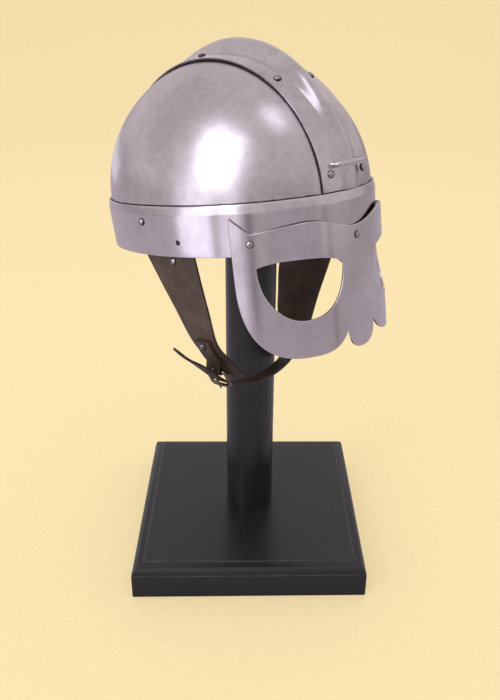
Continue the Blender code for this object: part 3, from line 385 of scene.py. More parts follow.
band = {
    "halfWidth": 0.0919, "front": 0.1139, "rear": 0.1111, "squareness": 2.11,
    "height": 0.0360, "taper": 0.0012, "shoulderHeight": 0.0070, "shoulderInset": 0.0009,
    "shoulderBend": 0.14, "shoulderRows": (0.05, 0.1, 0.14, 0.3, 0.5, 0.75, 1.0),
    "wallRows": 6, "around": 256, "rivetRear": 0.0080, "rivetRise": 0.0245,
}
skull = {
    "rise": 0.0985, "squareness": 2.06, "skirt": 0.0220, "slack": 0.0001,
    "around": 192, "rows": 60, "seamWidth": 0.0009,
}
comb = {
    "halfWidth": 0.0250, "ribHalfWidth": 0.0112, "ribHeight": 0.0095, "ribEndHeight": 0.0030,
    "ribFullness": 0.8, "frontFall": (0.40, 0.14), "rearFall": (0.44, 0.68), "steps": 150,
    "ribStations": 12, "flangeStations": 6, "seamSharpness": 2.0, "seamDepth": 0.001,
    "rivetOut": 0.0172, "rivetTurns": (0.040, 0.286, 0.510, 0.735, 0.960),
}
rivet = {
    # each head: radius and height
    "domed": (0.0029, 0.0020), "small": (0.00261, 0.0018), "flush": (0.0020, 0.0003),
    "shank": 0.0015, "tailRadius": 0.0024, "tailHeight": 0.0009,
    # the peened tail's outline, as shares of its radius and height
    "tailLine": ((1.0, 0.0), (0.95, 0.5), (0.75, 1.0), (0.0, 1.0)),
    "steps": 32, "headPoints": 9, "seamWidth": 0.0014,
}
skullInset = plate + band["shoulderInset"] + gap + skull["slack"]


def bowlSeam(tree, split):
    # Metres above the band or beside the comb, whichever is nearer, and none under the comb.
    aboveBand = calc(tree, "ABSOLUTE", calc(tree, "SUBTRACT", split["Z"], band["height"]))
    fromMiddle = calc(tree, "ABSOLUTE", split["X"])
    besideComb = calc(tree, "MULTIPLY", calc(tree, "SUBTRACT", fromMiddle, comb["halfWidth"]),
                      comb["seamSharpness"])
    hidden = calc(tree, "LESS_THAN", besideComb, -comb["seamDepth"])
    return calc(tree, "MINIMUM", aboveBand, calc(tree, "ADD", besideComb, hidden))


def rivetSeam(tree, split):
    return calc(tree, "MAXIMUM", split["Z"], 0.0)


def seamShadeMask(tree, place, split, distance, width):
    values = {"Distance": distance(tree, split), "Width": width}
    return addGroup(tree, seamShade, place, values)["Mask"]


# Painted shade along the bowl's seams with the band and the comb, and round the foot of each
# rivet's head.
layOver(metal["bowl steel"], paintedShade, seamShadeMask, bowlSeam, skull["seamWidth"])
layOver(metal["rivet steel"], paintedShade, seamShadeMask, rivetSeam, rivet["seamWidth"])


def ovalPoint(angle, inset):
    length = band["front"] if sin(angle) < 0 else band["rear"]
    power = 2 / band["squareness"]
    x = (band["halfWidth"] - inset) * signedPower(cos(angle), power)
    y = (length - inset) * signedPower(sin(angle), power)
    return x, y


def ovalNormal(x, y):
    length = band["front"] if y < 0 else band["rear"]
    power = band["squareness"] - 1
    nx = signedPower(x / band["halfWidth"], power) / band["halfWidth"]
    ny = signedPower(y / length, power) / length
    return Vector((nx, ny, 0)).normalized()


def ovalHalfWidth(y, inset):
    length = (band["front"] if y < 0 else band["rear"]) - inset
    share = max(0.0, 1 - (abs(y) / length) ** band["squareness"])
    return (band["halfWidth"] - inset) * share ** (1 / band["squareness"])


def bandInset(z):
    below = band["height"] - band["shoulderHeight"]
    if z <= below:
        return band["taper"] * (1 - z / below)
    share = (z - below) / band["shoulderHeight"]
    bend = band["shoulderBend"]
    rounded = share * share / (2 * bend) if share < bend else share - bend / 2
    return band["shoulderInset"] * rounded / (1 - bend / 2)


def skullPoint(direction, inset):
    rise = min(1.0, max(0.0, direction.z))
    spread = sqrt(max(0.0, 1 - rise * rise))
    squareness = band["squareness"] + (skull["squareness"] - band["squareness"]) * rise
    angle = atan2(direction.y, direction.x)
    length = band["front"] if direction.y < 0 else band["rear"]
    x = (band["halfWidth"] - inset) * spread * signedPower(cos(angle), 2 / squareness)
    y = (length - inset) * spread * signedPower(sin(angle), 2 / squareness)
    return Vector((x, y, band["height"] + (skull["rise"] - inset + skullInset) * rise))


def skullNormal(point):
    length = (band["front"] if point.y < 0 else band["rear"]) - skullInset
    width = band["halfWidth"] - skullInset
    rise = max(0.0, point.z - band["height"])
    return Vector(
        (point.x / width**2, point.y / length**2, rise / skull["rise"] ** 2)
    ).normalized()


def skullArcPoint(x, turn):
    # Over the crown on the upright plane at x: turn 0 is the front rim and 1 the rear rim.
    width = band["halfWidth"] - skullInset
    rise = sin(pi * turn) * sqrt(1 - (x / width) ** 2)
    squareness = band["squareness"] + (skull["squareness"] - band["squareness"]) * rise
    spread = sqrt(max(1e-12, 1 - rise * rise))
    side = min(1.0, abs(x) / (width * spread))
    length = (band["front"] if turn < 0.5 else band["rear"]) - skullInset
    y = length * spread * (1 - side**squareness) ** (1 / squareness)
    return Vector((x, -y if turn < 0.5 else y, band["height"] + skull["rise"] * rise))


def finishPiece(name, mesh, materials, nodeName, matrix=lean, modifiers=()):
    piece = addPiece(name, mesh)
    piece.matrix_world = matrix
    for material in materials:
        mesh.materials.append(material)
    for kind, settings in modifiers:
        modifier = piece.modifiers.new(kind.title(), kind)
        for label, value in settings.items():
            setattr(modifier, label, value)
    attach(piece, "root")
    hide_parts(nodeName)


def toMesh(name, bm, normals=True, sharp=None):
    if normals:
        bmesh.ops.recalc_face_normals(bm, faces=bm.faces)
    mesh = bpy.data.meshes.new(name)
    bm.to_mesh(mesh)
    bm.free()
    mesh.shade_smooth()
    if sharp:
        mesh.set_sharp_from_angle(angle=radians(sharp))
    return mesh


weightedNormals = ("WEIGHTED_NORMAL", {"keep_sharp": True, "weight": 60})


def solidify(thickness, offset, rim=0):
    return ("SOLIDIFY", {"thickness": thickness, "offset": offset, "material_offset_rim": rim})


def bevel(width, segments, angle):
    return ("BEVEL", {"width": width, "segments": segments, "limit_method": "ANGLE",
                      "angle_limit": radians(angle)})


def makeBowl(side, label):
    bm = bmesh.new()
    bmesh.ops.create_uvsphere(
        bm, u_segments=skull["around"], v_segments=2 * skull["rows"], radius=1.0
    )
    tiny = 1e-5
    lost = [v for v in bm.verts if v.co.z < -tiny or v.co.x * side < -tiny]
    bmesh.ops.delete(bm, geom=lost, context="VERTS")
    rim = [e for e in bm.edges if all(abs(v.co.z) < tiny for v in e.verts)]
    skirt = bmesh.ops.extrude_edge_only(bm, edges=rim)
    skirtVerts = {v for v in skirt["geom"] if isinstance(v, bmesh.types.BMVert)}
    for vert in bm.verts:
        onSeam = abs(vert.co.x) < tiny
        point = skullPoint(vert.co, skullInset)
        if vert in skirtVerts:
            point.z = band["height"] - skull["skirt"]
        if onSeam:
            point.x = side * gap / 2
        vert.co = point
    mesh = toMesh(f"bowl_{label}_sheet", bm)
    finishPiece(mesh.name, mesh, [metal["bowl steel"]], f"bowl_{label}",
                modifiers=[solidify(plate, -1.0)])


makeBowl(-1, "right")
makeBowl(1, "left")
print("skull made")


def ribHeight(x, turn):
    away = min(1.0, abs(x) / comb["ribHalfWidth"])
    section = (0.5 + 0.5 * cos(pi * away)) ** comb["ribFullness"]
    lows = []
    for start, end in (comb["frontFall"], comb["rearFall"]):
        fall = min(1.0, max(0.0, (turn - start) / (end - start)))
        lows.append(fall * fall * (3 - 2 * fall))
    return (comb["ribHeight"] + (comb["ribEndHeight"] - comb["ribHeight"]) * max(lows)) * section


def makeComb():
    ribSteps = comb["ribStations"]
    flangeSteps = comb["flangeStations"]
    half = [comb["ribHalfWidth"] * i / ribSteps for i in range(ribSteps + 1)]
    flange = comb["halfWidth"] - comb["ribHalfWidth"]
    half += [comb["ribHalfWidth"] + flange * i / flangeSteps for i in range(1, flangeSteps + 1)]
    stations = [-x for x in reversed(half[1:])] + half
    width = band["halfWidth"] - skullInset
    bm = bmesh.new()
    bmesh.ops.create_grid(bm, x_segments=len(stations) - 1, y_segments=comb["steps"], size=0.5)
    for vert in bm.verts:
        x = stations[round((vert.co.x + 0.5) * (len(stations) - 1))]
        first = asin(2 * gap / (skull["rise"] * sqrt(1 - (x / width) ** 2))) / pi
        turn = first + (1 - 2 * first) * (vert.co.y + 0.5)
        point = skullArcPoint(x, turn)
        vert.co = point + skullNormal(point) * (curvedGap + ribHeight(x, turn))
    mesh = toMesh("comb_sheet", bm)
    offset = 1.0 if mesh.polygons[len(mesh.polygons) // 2].normal.z > 0 else -1.0
    finishPiece("comb_sheet", mesh, [metal["comb steel"], metal["comb edge with painted shade"]], "comb_band",
                modifiers=[solidify(plate, offset, rim=1), bevel(0.0003, 2, creaseAngle),
                                    weightedNormals])


makeComb()


def makeBand():
    below = band["height"] - band["shoulderHeight"]
    heights = [below * i / band["wallRows"] for i in range(band["wallRows"] + 1)]
    heights += [below + band["shoulderHeight"] * share for share in band["shoulderRows"]]
    bm = bmesh.new()
    bmesh.ops.create_grid(bm, x_segments=band["around"], y_segments=len(heights) - 1, size=0.5)
    for vert in bm.verts:
        z = heights[round((vert.co.y + 0.5) * (len(heights) - 1))]
        angle = 2 * pi * (vert.co.x + 0.5)
        vert.co = (*ovalPoint(angle, bandInset(z)), z)
    bmesh.ops.remove_doubles(bm, verts=bm.verts, dist=1e-6)
    finishPiece("band_sheet", toMesh("band_sheet", bm), [metal["band steel"]], "brow_band",
                modifiers=[solidify(plate, -1.0), bevel(0.0004, 2, creaseAngle),
                                    weightedNormals])


makeBand()
print("comb and brow band made")

guard = {
    "halfWidth": 0.0784, "cornerRise": 0.0272, "standOff": 0.0016, "thickness": 0.0018,
    "browCentre": 0.0114, "browPeak": 0.0200, "browPeakOut": 0.0420,
    "browDip": 0.0155, "browDipOut": 0.0706, "browFallPower": 1.6, "cornerPower": 1.15,
    "ringOut": 0.0460, "ringInner": 0.0386, "ringShoulder": -0.0100, "ringBottom": -0.0757,
    "ringSquareness": 3.0, "ringInnerEnd": -149.25,
    "nasalHalfWidth": 0.0143, "nasalShoulder": -0.0640, "nasalBottom": -0.0786,
    "nasalSquareness": 2.3, "notchRise": 0.0020, "notchOut": 0.0006, "notchMouth": 0.0010,
    "eyeOut": 0.0462, "eyeOuter": 0.0232, "eyeInner": 0.0300, "eyeTop": -0.0048,
    "eyeCorner": -0.0082, "eyeBottom": -0.0483, "eyeSquareness": 2.2, "eyeInnerEnd": -174,
    "eyeCrownOut": 0.0058, "eyeCornerIn": 0.0047, "eyeCornerDrop": 0.0012, "eyeTopPower": 2.5,
    "rivetOut": 0.0710, "rivetRise": 0.0090, "noseRivetRise": 0.0042,
    "edgeRound": 0.0005, "backRound": 0.0003,
    # how finely it is drawn
    "faceSteps": 900, "faceReach": 0.97, "browSteps": 120, "ringSteps": 60, "tipSteps": 80,
    "eyeSteps": 40, "eyeTopSteps": 60, "spacing": 0.0012, "rayGap": 0.006, "radialSteps": 16,
    "nasalRows": 14, "noseSteps": 12, "middleSteps": 60, "edgeSteps": 4, "mitreLimit": 0.5,
}


def guardFaceTable():
    # Points of the outer face from the middle to the side, and the way it looks at each.
    table = []
    for i in range(guard["faceSteps"]):
        angle = -pi / 2 + pi / 2 * guard["faceReach"] * i / (guard["faceSteps"] - 1)
        x, y = ovalPoint(angle, 0.0)
        normal = ovalNormal(x, y)
        bow = gap + guard["standOff"] * sin(pi * x / guard["rivetOut"]) ** 2
        table.append((Vector((x, y, 0)) + normal * (bow + guard["thickness"]), normal))
    return table


guardFaces = guardFaceTable()


def guardFaceAt(x):
    # The outer face of the guard where the front view shows x, and the way it looks there.
    wanted = abs(x)
    low = 0
    high = len(guardFaces) - 1
    while high - low > 1:
        middle = (low + high) // 2
        if guardFaces[middle][0].x < wanted:
            low = middle
        else:
            high = middle
    first, second = guardFaces[low], guardFaces[high]
    share = (wanted - first[0].x) / max(1e-9, second[0].x - first[0].x)
    point = first[0].lerp(second[0], share)
    normal = first[1].lerp(second[1], share).normalized()
    if x < 0:
        point.x = -point.x
        normal.x = -normal.x
    return point, normal


def roundedArc(centreX, centreZ, radiusX, radiusZ, squareness, start, end, steps):
    points = []
    for i in range(steps + 1):
        angle = radians(start + (end - start) * i / steps)
        x = centreX + radiusX * signedPower(cos(angle), 2 / squareness)
        z = centreZ + radiusZ * signedPower(sin(angle), 2 / squareness)
        points.append(Vector((x, z)))
    return points


def browEdge(x):
    peak, dip = guard["browPeak"], guard["browDip"]
    peakOut, dipOut = guard["browPeakOut"], guard["browDipOut"]
    if x <= peakOut:
        swing = (peak - guard["browCentre"]) / 2
        return (peak + guard["browCentre"]) / 2 - swing * cos(pi * x / peakOut)
    if x <= dipOut:
        return peak + (dip - peak) * ((x - peakOut) / (dipOut - peakOut)) ** guard["browFallPower"]
    share = (x - dipOut) / (guard["halfWidth"] - dipOut)
    return dip + (guard["cornerRise"] - dip) * share ** guard["cornerPower"]


def evenSteps(points, spacing):
    # The same line, walked in even steps.
    lengths = [0.0]
    for a, b in zip(points, points[1:]):
        lengths.append(lengths[-1] + (b - a).length)
    count = max(2, round(lengths[-1] / spacing))
    result = []
    k = 0
    for i in range(count + 1):
        wanted = lengths[-1] * i / count
        while k < len(lengths) - 2 and lengths[k + 1] < wanted:
            k += 1
        run = lengths[k + 1] - lengths[k]
        result.append(points[k].lerp(points[k + 1], (wanted - lengths[k]) / max(run, 1e-12)))
    return result


def eyeLoop():
    depth = guard["eyeCorner"] - guard["eyeBottom"]
    centre, squareness, steps = guard["eyeOut"], guard["eyeSquareness"], guard["eyeSteps"]
    outer = roundedArc(centre, guard["eyeCorner"], guard["eyeOuter"], depth, squareness,
                       0, -90, steps)
    inner = roundedArc(centre, guard["eyeCorner"], guard["eyeInner"], depth, squareness,
                       -90, guard["eyeInnerEnd"], steps)
    crownX = centre + guard["eyeCrownOut"]
    innerX = centre - guard["eyeInner"] + guard["eyeCornerIn"]
    outerX = centre + guard["eyeOuter"]
    outerDrop = guard["eyeTop"] - guard["eyeCorner"]
    innerDrop = outerDrop + guard["eyeCornerDrop"]
    top = []
    for i in range(guard["eyeTopSteps"]):
        x = innerX + (outerX - innerX) * i / guard["eyeTopSteps"]
        endX, drop = (innerX, innerDrop) if x < crownX else (outerX, outerDrop)
        drop *= ((x - crownX) / (endX - crownX)) ** guard["eyeTopPower"]
        top.append(Vector((x, guard["eyeTop"] - drop)))
    return outer + inner[1:] + top


def inwardAlong(points, side, closed=False):
    # The way into the plate at each point of its edge, as long as a mitre is.
    ways = []
    count = len(points)
    for i in range(count):
        before = points[i] - points[i - 1] if i or closed else points[1] - points[0]
        last = i == count - 1 and not closed
        after = before if last else points[(i + 1) % count] - points[i]
        first = Vector((before.y, -before.x)).normalized() * side
        second = Vector((after.y, -after.x)).normalized() * side
        middle = (first + second).normalized()
        ways.append(middle / max(guard["mitreLimit"], middle.dot(first)))
    return ways


def rayShare(a, b, centre, direction):
    # How far along the line from a to b a ray crosses it, or None.
    edge = b - a
    cross = direction.x * edge.y - direction.y * edge.x
    if abs(cross) < 1e-15:
        return None
    toA = a - centre
    along = (toA.x * edge.y - toA.y * edge.x) / cross
    share = (toA.x * direction.y - toA.y * direction.x) / cross
    return share if along > 0 and -1e-6 <= share <= 1 + 1e-6 else None


def guardEdgeLines():
    # Half of the plate's edge, from the middle of the brow round to the notch and to the tip.
    count, width = guard["browSteps"], guard["halfWidth"]
    brow = [Vector((width * i / count, browEdge(width * i / count))) for i in range(count + 1)]
    dip = next(i for i, p in enumerate(brow) if p.x >= guard["browDipOut"])
    depth = guard["ringShoulder"] - guard["ringBottom"]
    outerRadius = guard["halfWidth"] - guard["ringOut"]
    side = roundedArc(guard["ringOut"], guard["ringShoulder"], outerRadius, depth,
                      guard["ringSquareness"], 0, -90, guard["ringSteps"])
    inner = roundedArc(guard["ringOut"], guard["ringShoulder"], guard["ringInner"], depth,
                       guard["ringSquareness"], -90, guard["ringInnerEnd"], guard["ringSteps"])
    notchX = guard["nasalHalfWidth"] + guard["notchOut"]
    notch = Vector((notchX, guard["nasalShoulder"] + guard["notchRise"]))
    inner = [p for p in inner if p.x > notchX + guard["notchMouth"]] + [notch]
    outline = []
    for line in (brow[: dip + 1], brow[dip:], [brow[-1], side[0]], side, inner):
        outline += evenSteps(line, guard["spacing"])[:-1]
    outline.append(notch)
    depth = guard["nasalShoulder"] - guard["nasalBottom"]
    nasal = roundedArc(0.0, guard["nasalShoulder"], guard["nasalHalfWidth"], depth,
                       guard["nasalSquareness"], 0, -90, guard["tipSteps"])
    return outline, [notch] + nasal


def pickEvenly(line, count):
    # A line of count + 1 points, evenly spaced; the hundredth keeps rounding from adding one.
    total = sum((b - a).length for a, b in zip(line, line[1:]))
    return evenSteps(line, total / (count + 0.01))


class PlateBuilder:
    # Gathers points and normals of one curved plate, drawn flat in the front view.
    def __init__(self):
        self.bm = bmesh.new()
        self.normals = []
        self.side = 1

    def point(self, spot, depth, front, edge, inward):
        face, normal = guardFaceAt(self.side * spot.x)
        place = Vector((face.x, face.y, spot.y)) - normal * depth
        look = normal * front
        if edge:
            flat = inward.normalized()
            level = Vector((-normal.y, normal.x, 0)) * self.side
            look -= (level * flat.x + Vector((0, 0, flat.y))) * edge
        self.normals.append(look.normalized())
        return self.bm.verts.new(place)

    def surface(self, rows, depth, front, closed=False):
        made = [[self.point(p, depth, front, 0.0, None) for p in row] for row in rows]
        fillGrid(self.bm, made, closed)

    def edgeStrip(self, items, closed=False):
        # The rounded front edge, the wall and the rounded back edge.
        soft, back, thickness = guard["edgeRound"], guard["backRound"], guard["thickness"]
        turns = quarterTurns(guard["edgeSteps"])
        profile = [(soft * (1 - sin(t)), soft * (1 - cos(t)), cos(t), sin(t)) for t in turns]
        profile += [(back * (1 - cos(t)), thickness - back * (1 - sin(t)), -sin(t), cos(t))
                    for t in turns]
        rows = []
        for spot, inward in items:
            rows.append([self.point(spot + inward * inset, depth, front, edge, inward)
                         for inset, depth, front, edge in profile])
        fillGrid(self.bm, rows, closed)

    def finish(self, name):
        for vert, normal in zip(self.bm.verts, self.normals):
            vert.normal = normal
        self.bm.verts.index_update()
        for face in self.bm.faces:
            face.normal_update()
            wanted = sum((self.normals[vert.index] for vert in face.verts), Vector())
            if face.normal.dot(wanted) < 0:
                face.normal_flip()
        mesh = toMesh(name, self.bm, normals=False)
        mesh.normals_split_custom_set_from_vertices(self.normals)
        return mesh


def makeGuard():
    # Rays from the eye's middle carry the plate's rows from the eye's edge to its outer edge.
    outline, nasal = guardEdgeLines()
    edge = list(zip(outline, inwardAlong(outline + nasal[1:2], 1)))
    edge[0] = (outline[0], Vector((0, -1)))
    notch = outline[-1]
    eye = eyeLoop()
    eyeEdge = list(zip(eye, inwardAlong(eye, -1, closed=True)))
    centre = Vector((guard["eyeOut"], (guard["eyeTop"] + guard["eyeBottom"]) / 2))
    nose = Vector((0, notch.y))
    noseSteps, middleSteps = guard["noseSteps"], guard["middleSteps"]
    rayEnds = outline + [notch.lerp(nose, i / noseSteps) for i in range(1, noseSteps + 1)]
    rayEnds += [nose.lerp(outline[0], i / middleSteps) for i in range(1, middleSteps)]
    turns = {round(atan2(p.y - centre.y, p.x - centre.x), 4): p for p in rayEnds}
    for spot in evenSteps(eye + eye[:1], guard["spacing"]):
        turn = round(atan2(spot.y - centre.y, spot.x - centre.x), 4)
        if all(abs(turn - other) > guard["rayGap"] for other in turns):
            turns[turn] = spot
    rays = [turns[turn] - centre for turn in sorted(turns)]
    eyeItems = [crossEdge(eyeEdge, centre, towards, True) for towards in rays]
    outer = [crossOuter(edge, notch, nose, centre, towards) for towards in rays]
    builder = PlateBuilder()
    steps = guard["radialSteps"]
    for builder.side in (1, -1):
        for inset, depth, front in ((guard["edgeRound"], 0.0, 1.0),
                                    (guard["backRound"], guard["thickness"], -1.0)):
            rows = []
            for (kind, *data), (spot, inward) in zip(outer, eyeItems):
                end = outerSpot(kind, data, inset, edge, nose)
                first = spot + inward * inset
                rows.append([first.lerp(end, i / steps) for i in range(steps + 1)])
            builder.surface(rows, depth, front, closed=True)
            builder.surface(nasalRows(edge, nasal, noseSteps, inset, nose), depth, front)
        builder.edgeStrip(eyeItems, closed=True)
        builder.edgeStrip(edge)
        builder.edgeStrip(nasalEdge(edge, nasal, noseSteps))
    finishPiece("guard_sheet", builder.finish("guard_sheet"), [metal["guard steel"]],
                "spectacle_guard")


def crossEdge(items, centre, towards, closed):
    # The point and the inward way where a ray crosses an edge line.
    for (a, wayA), (b, wayB) in pairsOf(items, closed):
        share = rayShare(a, b, centre, towards)
        if share is not None:
            return a.lerp(b, share), wayA.lerp(wayB, share)
    return None


def crossOuter(edge, notch, nose, centre, towards):
    # Where a ray leaves the half plate: on the line to the nose, on the middle or on the edge.
    tiny = 1e-4
    for a, b, kind in ((notch, nose, "nose"), (nose, edge[0][0], "middle")):
        share = rayShare(a, b, centre, towards)
        if share is not None and tiny < share < 1 - tiny:
            return kind, share
        if share is not None and kind == "nose" and share >= 1 - tiny:
            return kind, 1.0
    return ("edge", *crossEdge(edge, centre, towards, False))


def outerSpot(kind, data, inset, edge, nose):
    if kind == "edge":
        return data[0] + data[1] * inset
    if kind == "nose":
        notch, inward = edge[-1]
        return (notch + inward * inset).lerp(nose, data[0])
    top, inward = edge[0]
    return nose.lerp(top + inward * inset, data[0])


def nasalEdge(edge, nasal, count):
    # The nasal's own edge: down its side and round its tip to the middle.
    rows = guard["nasalRows"]
    split = round(len(nasal) / 2)
    line = pickEvenly(nasal[: split + 1], rows)[:-1] + pickEvenly(nasal[split:], count)
    items = list(zip(line, inwardAlong(line, 1)))
    items[0] = edge[-1]
    items[-1] = (line[-1], Vector((0, 1)))
    return items


def nasalRows(edge, nasal, count, inset, nose):
    # A patch between the line at the notches, the middle and the nasal's edge.
    rows = guard["nasalRows"]
    spots = [spot + inward * inset for spot, inward in nasalEdge(edge, nasal, count)]
    right, bottom = spots[: rows + 1], spots[rows:]
    top = [spots[0].lerp(nose, i / count) for i in range(count + 1)]
    grid = []
    for j in range(rows + 1):
        v = j / rows
        row = []
        for i in range(count + 1):
            u = i / count
            left = nose.lerp(bottom[-1], v)
            spot = top[i] * (1 - v) + bottom[i] * v + right[j] * (1 - u) + left * u
            spot -= (top[0] * (1 - u) + top[-1] * u) * (1 - v)
            spot -= (bottom[0] * (1 - u) + bottom[-1] * u) * v
            row.append(spot)
        grid.append(row)
    return grid


makeGuard()
print("spectacle guard made")


def makeRivet(name, point, outwards, grip, kind="domed"):
    # A turned profile: low dome, shank and peened tail, as one Screw.
    radius, height = rivet[kind]
    profile = [(radius * sin(t), height * cos(t)) for t in quarterTurns(rivet["headPoints"])]
    profile += [(rivet["shank"], 0.0), (rivet["shank"], -grip)]
    profile += [(rivet["tailRadius"] * out, -grip - rivet["tailHeight"] * down)
                for out, down in rivet["tailLine"]]
    bm = bmesh.new()
    verts = [bm.verts.new((x, 0, z)) for x, z in profile]
    for a, b in pairsOf(verts):
        bm.edges.new((a, b))
    mesh = toMesh(f"{name}_dome", bm, normals=False)
    screw = ("SCREW", {"axis": "Z", "steps": rivet["steps"], "render_steps": rivet["steps"],
                       "use_merge_vertices": True, "merge_threshold": 0.00001,
                       "use_smooth_shade": True})
    turn = outwards.to_track_quat("Z", "Y").to_matrix().to_4x4()
    finishPiece(mesh.name, mesh, [metal["rivet steel"]], name,
                matrix=lean @ Matrix.Translation(point) @ turn, modifiers=[screw])


def bandSpot(side, y, z):
    # A point on the band's outer face, and the way the band looks there.
    x = side * ovalHalfWidth(y, bandInset(z))
    return Vector((x, y, z)), ovalNormal(x, y)


def makeSteelRivets():
    for side, label in ((-1, "right"), (1, "left")):
        for number, turn in enumerate(comb["rivetTurns"], 1):
            point = skullArcPoint(side * comb["rivetOut"], turn)
            normal = skullNormal(point)
            makeRivet(f"comb_rivet_{label}_{number}", point + normal * (curvedGap + plate),
                      normal, 2 * curvedGap + 2 * plate + gap)
        makeRivet(f"band_rivet_{label}", *bandSpot(side, band["rivetRear"], band["rivetRise"]),
                  skullInset + plate + curvedGap)
    for x, z, label in ((-guard["rivetOut"], guard["rivetRise"], "right"),
                        (0.0, guard["noseRivetRise"], "nose"),
                        (guard["rivetOut"], guard["rivetRise"], "left")):
        point, outwards = guardFaceAt(x)
        makeRivet(f"guard_rivet_{label}", Vector((point.x, point.y, z)), outwards,
                  3 * gap + guard["thickness"] + band["taper"] + plate)


makeSteelRivets()

staple = {"halfSpan": 0.0152, "rise": 0.0188, "standOff": 0.0055, "wire": 0.0017,
          "corner": 0.0030, "foot": 0.0012, "footSink": 0.0014, "cornerSteps": 9}


wireSteps = 5


def makeWire(name, node, points, radius, material, slotName, closed=False, taper=None):
    # A round wire along a line of points, thinner where its taper says.
    curve = bpy.data.curves.new(name, "CURVE")
    curve.dimensions = "3D"
    curve.bevel_depth = radius
    curve.bevel_resolution = wireSteps
    curve.use_fill_caps = not closed
    spline = curve.splines.new("POLY")
    spline.points.add(len(points) - 1)
    for i, (target, point) in enumerate(zip(spline.points, points)):
        target.co = (*point, 1)
        target.radius = taper[i] if taper else 1.0
    spline.use_cyclic_u = closed
    wire = addPiece(name, curve)
    graph = bpy.context.evaluated_depsgraph_get()
    mesh = bpy.data.meshes.new_from_object(wire.evaluated_get(graph), depsgraph=graph)
    bpy.data.objects.remove(wire, do_unlink=True)
    mesh.materials.clear()
    mesh.shade_smooth()
    mesh.set_sharp_from_angle(angle=radians(creaseAngle))
    finishPiece(name, mesh, [material], node)


def makeStaple():
    span, corner = staple["halfSpan"], staple["corner"]
    z = band["height"] + staple["rise"]
    topRise = skull["rise"] * sqrt(1 - (span / (band["halfWidth"] - skullInset)) ** 2)
    foot = skullArcPoint(span, asin(staple["rise"] / topRise) / pi)
    foot = foot + skullNormal(foot) * (curvedGap + plate + staple["foot"])
    front = foot.y - staple["standOff"]
    half = [Vector((span, foot.y + staple["footSink"], z))]
    for t in quarterTurns(staple["cornerSteps"]):
        half.append(Vector((span - corner * (1 - cos(t)), front + corner * (1 - sin(t)), z)))
    points = half + [Vector((-p.x, p.y, p.z)) for p in reversed(half)]
    makeWire("staple_wire", "front_staple", points, staple["wire"], metal["polished steel"],
             "steel")


makeStaple()
print("rivets and staple made")

strap = {
    "topWidth": 0.0520, "topRise": 0.0134, "dropRight": 0.0970, "dropLeft": 0.1120,
    "pinch": 0.0260, "leather": 0.0020, "slack": 0.0002, "rows": 48, "across": 12,
    "cutBevel": 0.00035, "seatStep": 0.002,
    "flushRear": -0.0265, "flushRise": 0.0106, "hemRear": -0.0170, "hemDrop": 0.0036,
    # each row: how far down, front and rear edge, how far each is pulled in
    "rightRows": [
        (0.000, -0.690, 0.225, 0.00, 0.00),
        (0.220, -0.735, 0.045, 0.02, 0.10),
        (0.420, -0.765, -0.115, 0.08, 0.20),
        (0.700, -0.765, -0.262, 0.27, 0.43),
        (0.880, -0.845, -0.369, 0.63, 0.78),
        (1.000, -0.905, -0.428, 0.88, 1.02),
    ],
    "leftRows": [
        (0.000, -0.75, 0.30, 0.00, 0.00),
        (0.180, -0.60, 0.42, 0.06, 0.26),
        (0.380, -0.41, 0.52, 0.16, 0.56),
        (0.610, -0.21, 0.52, 0.34, 0.78),
        (0.800, -0.10, 0.48, 0.56, 0.98),
        (1.000, -0.04, 0.27, 0.88, 1.10),
    ],
}
strapClearance = band["taper"] + plate + gap + strap["leather"] / 2 + strap["slack"]


def smoothRows(rows, count):
    # Rows of a table joined by smooth curves, as count + 1 evenly spaced rows.
    width = len(rows[0])
    first = tuple(2 * rows[0][j] - rows[1][j] for j in range(width))
    last = tuple(2 * rows[-1][j] - rows[-2][j] for j in range(width))
    padded = [first] + list(rows) + [last]
    result = []
    for i in range(count + 1):
        spot = i / count * (len(rows) - 1)
        k = min(int(spot), len(rows) - 2)
        t = spot - k
        a, b, c, d = padded[k : k + 4]
        result.append(tuple(
            0.5 * (2 * b[j] + (c[j] - a[j]) * t + (2 * a[j] - 5 * b[j] + 4 * c[j] - d[j]) * t**2
                   + (3 * b[j] - a[j] - 3 * c[j] + d[j]) * t**3)
            for j in range(width)
        ))
    return result


def strapRow(side, front, rear, frontIn, rearIn, z):
    yFront = front * strap["topWidth"]
    yRear = rear * strap["topWidth"]
    xFront = ovalHalfWidth(yFront, strapClearance) - frontIn * strap["pinch"]
    xRear = ovalHalfWidth(yRear, strapClearance) - rearIn * strap["pinch"]
    return Vector((side * xFront, yFront, z)), Vector((side * xRear, yRear, z))


def strapEdges(side, rows, drop, count):
    edges = [strapRow(side, rows[0][1], rows[0][2], 0.0, 0.0, strap["topRise"])]
    for down, front, rear, frontIn, rearIn in smoothRows(rows, count):
        edges.append(strapRow(side, front, rear, frontIn, rearIn, -down * drop))
    return edges


def bandCurved(side, front, rear, share):
    # Across its width a strap keeps the band's curve.
    y = front.y + (rear.y - front.y) * share
    frontIn = ovalHalfWidth(front.y, strapClearance) - abs(front.x)
    rearIn = ovalHalfWidth(rear.y, strapClearance) - abs(rear.x)
    x = ovalHalfWidth(y, strapClearance) - frontIn - (rearIn - frontIn) * share
    return Vector((side * x, y, front.z + (rear.z - front.z) * share))


def strapSpot(edges, side, y, drop):
    for (frontA, rearA), (frontB, rearB) in zip(edges, edges[1:]):
        if frontA.z >= -drop >= frontB.z:
            share = (frontA.z + drop) / (frontA.z - frontB.z)
            front = frontA.lerp(frontB, share)
            rear = rearA.lerp(rearB, share)
            return bandCurved(side, front, rear, (y - front.y) / (rear.y - front.y))
    raise ValueError("no strap at this drop")


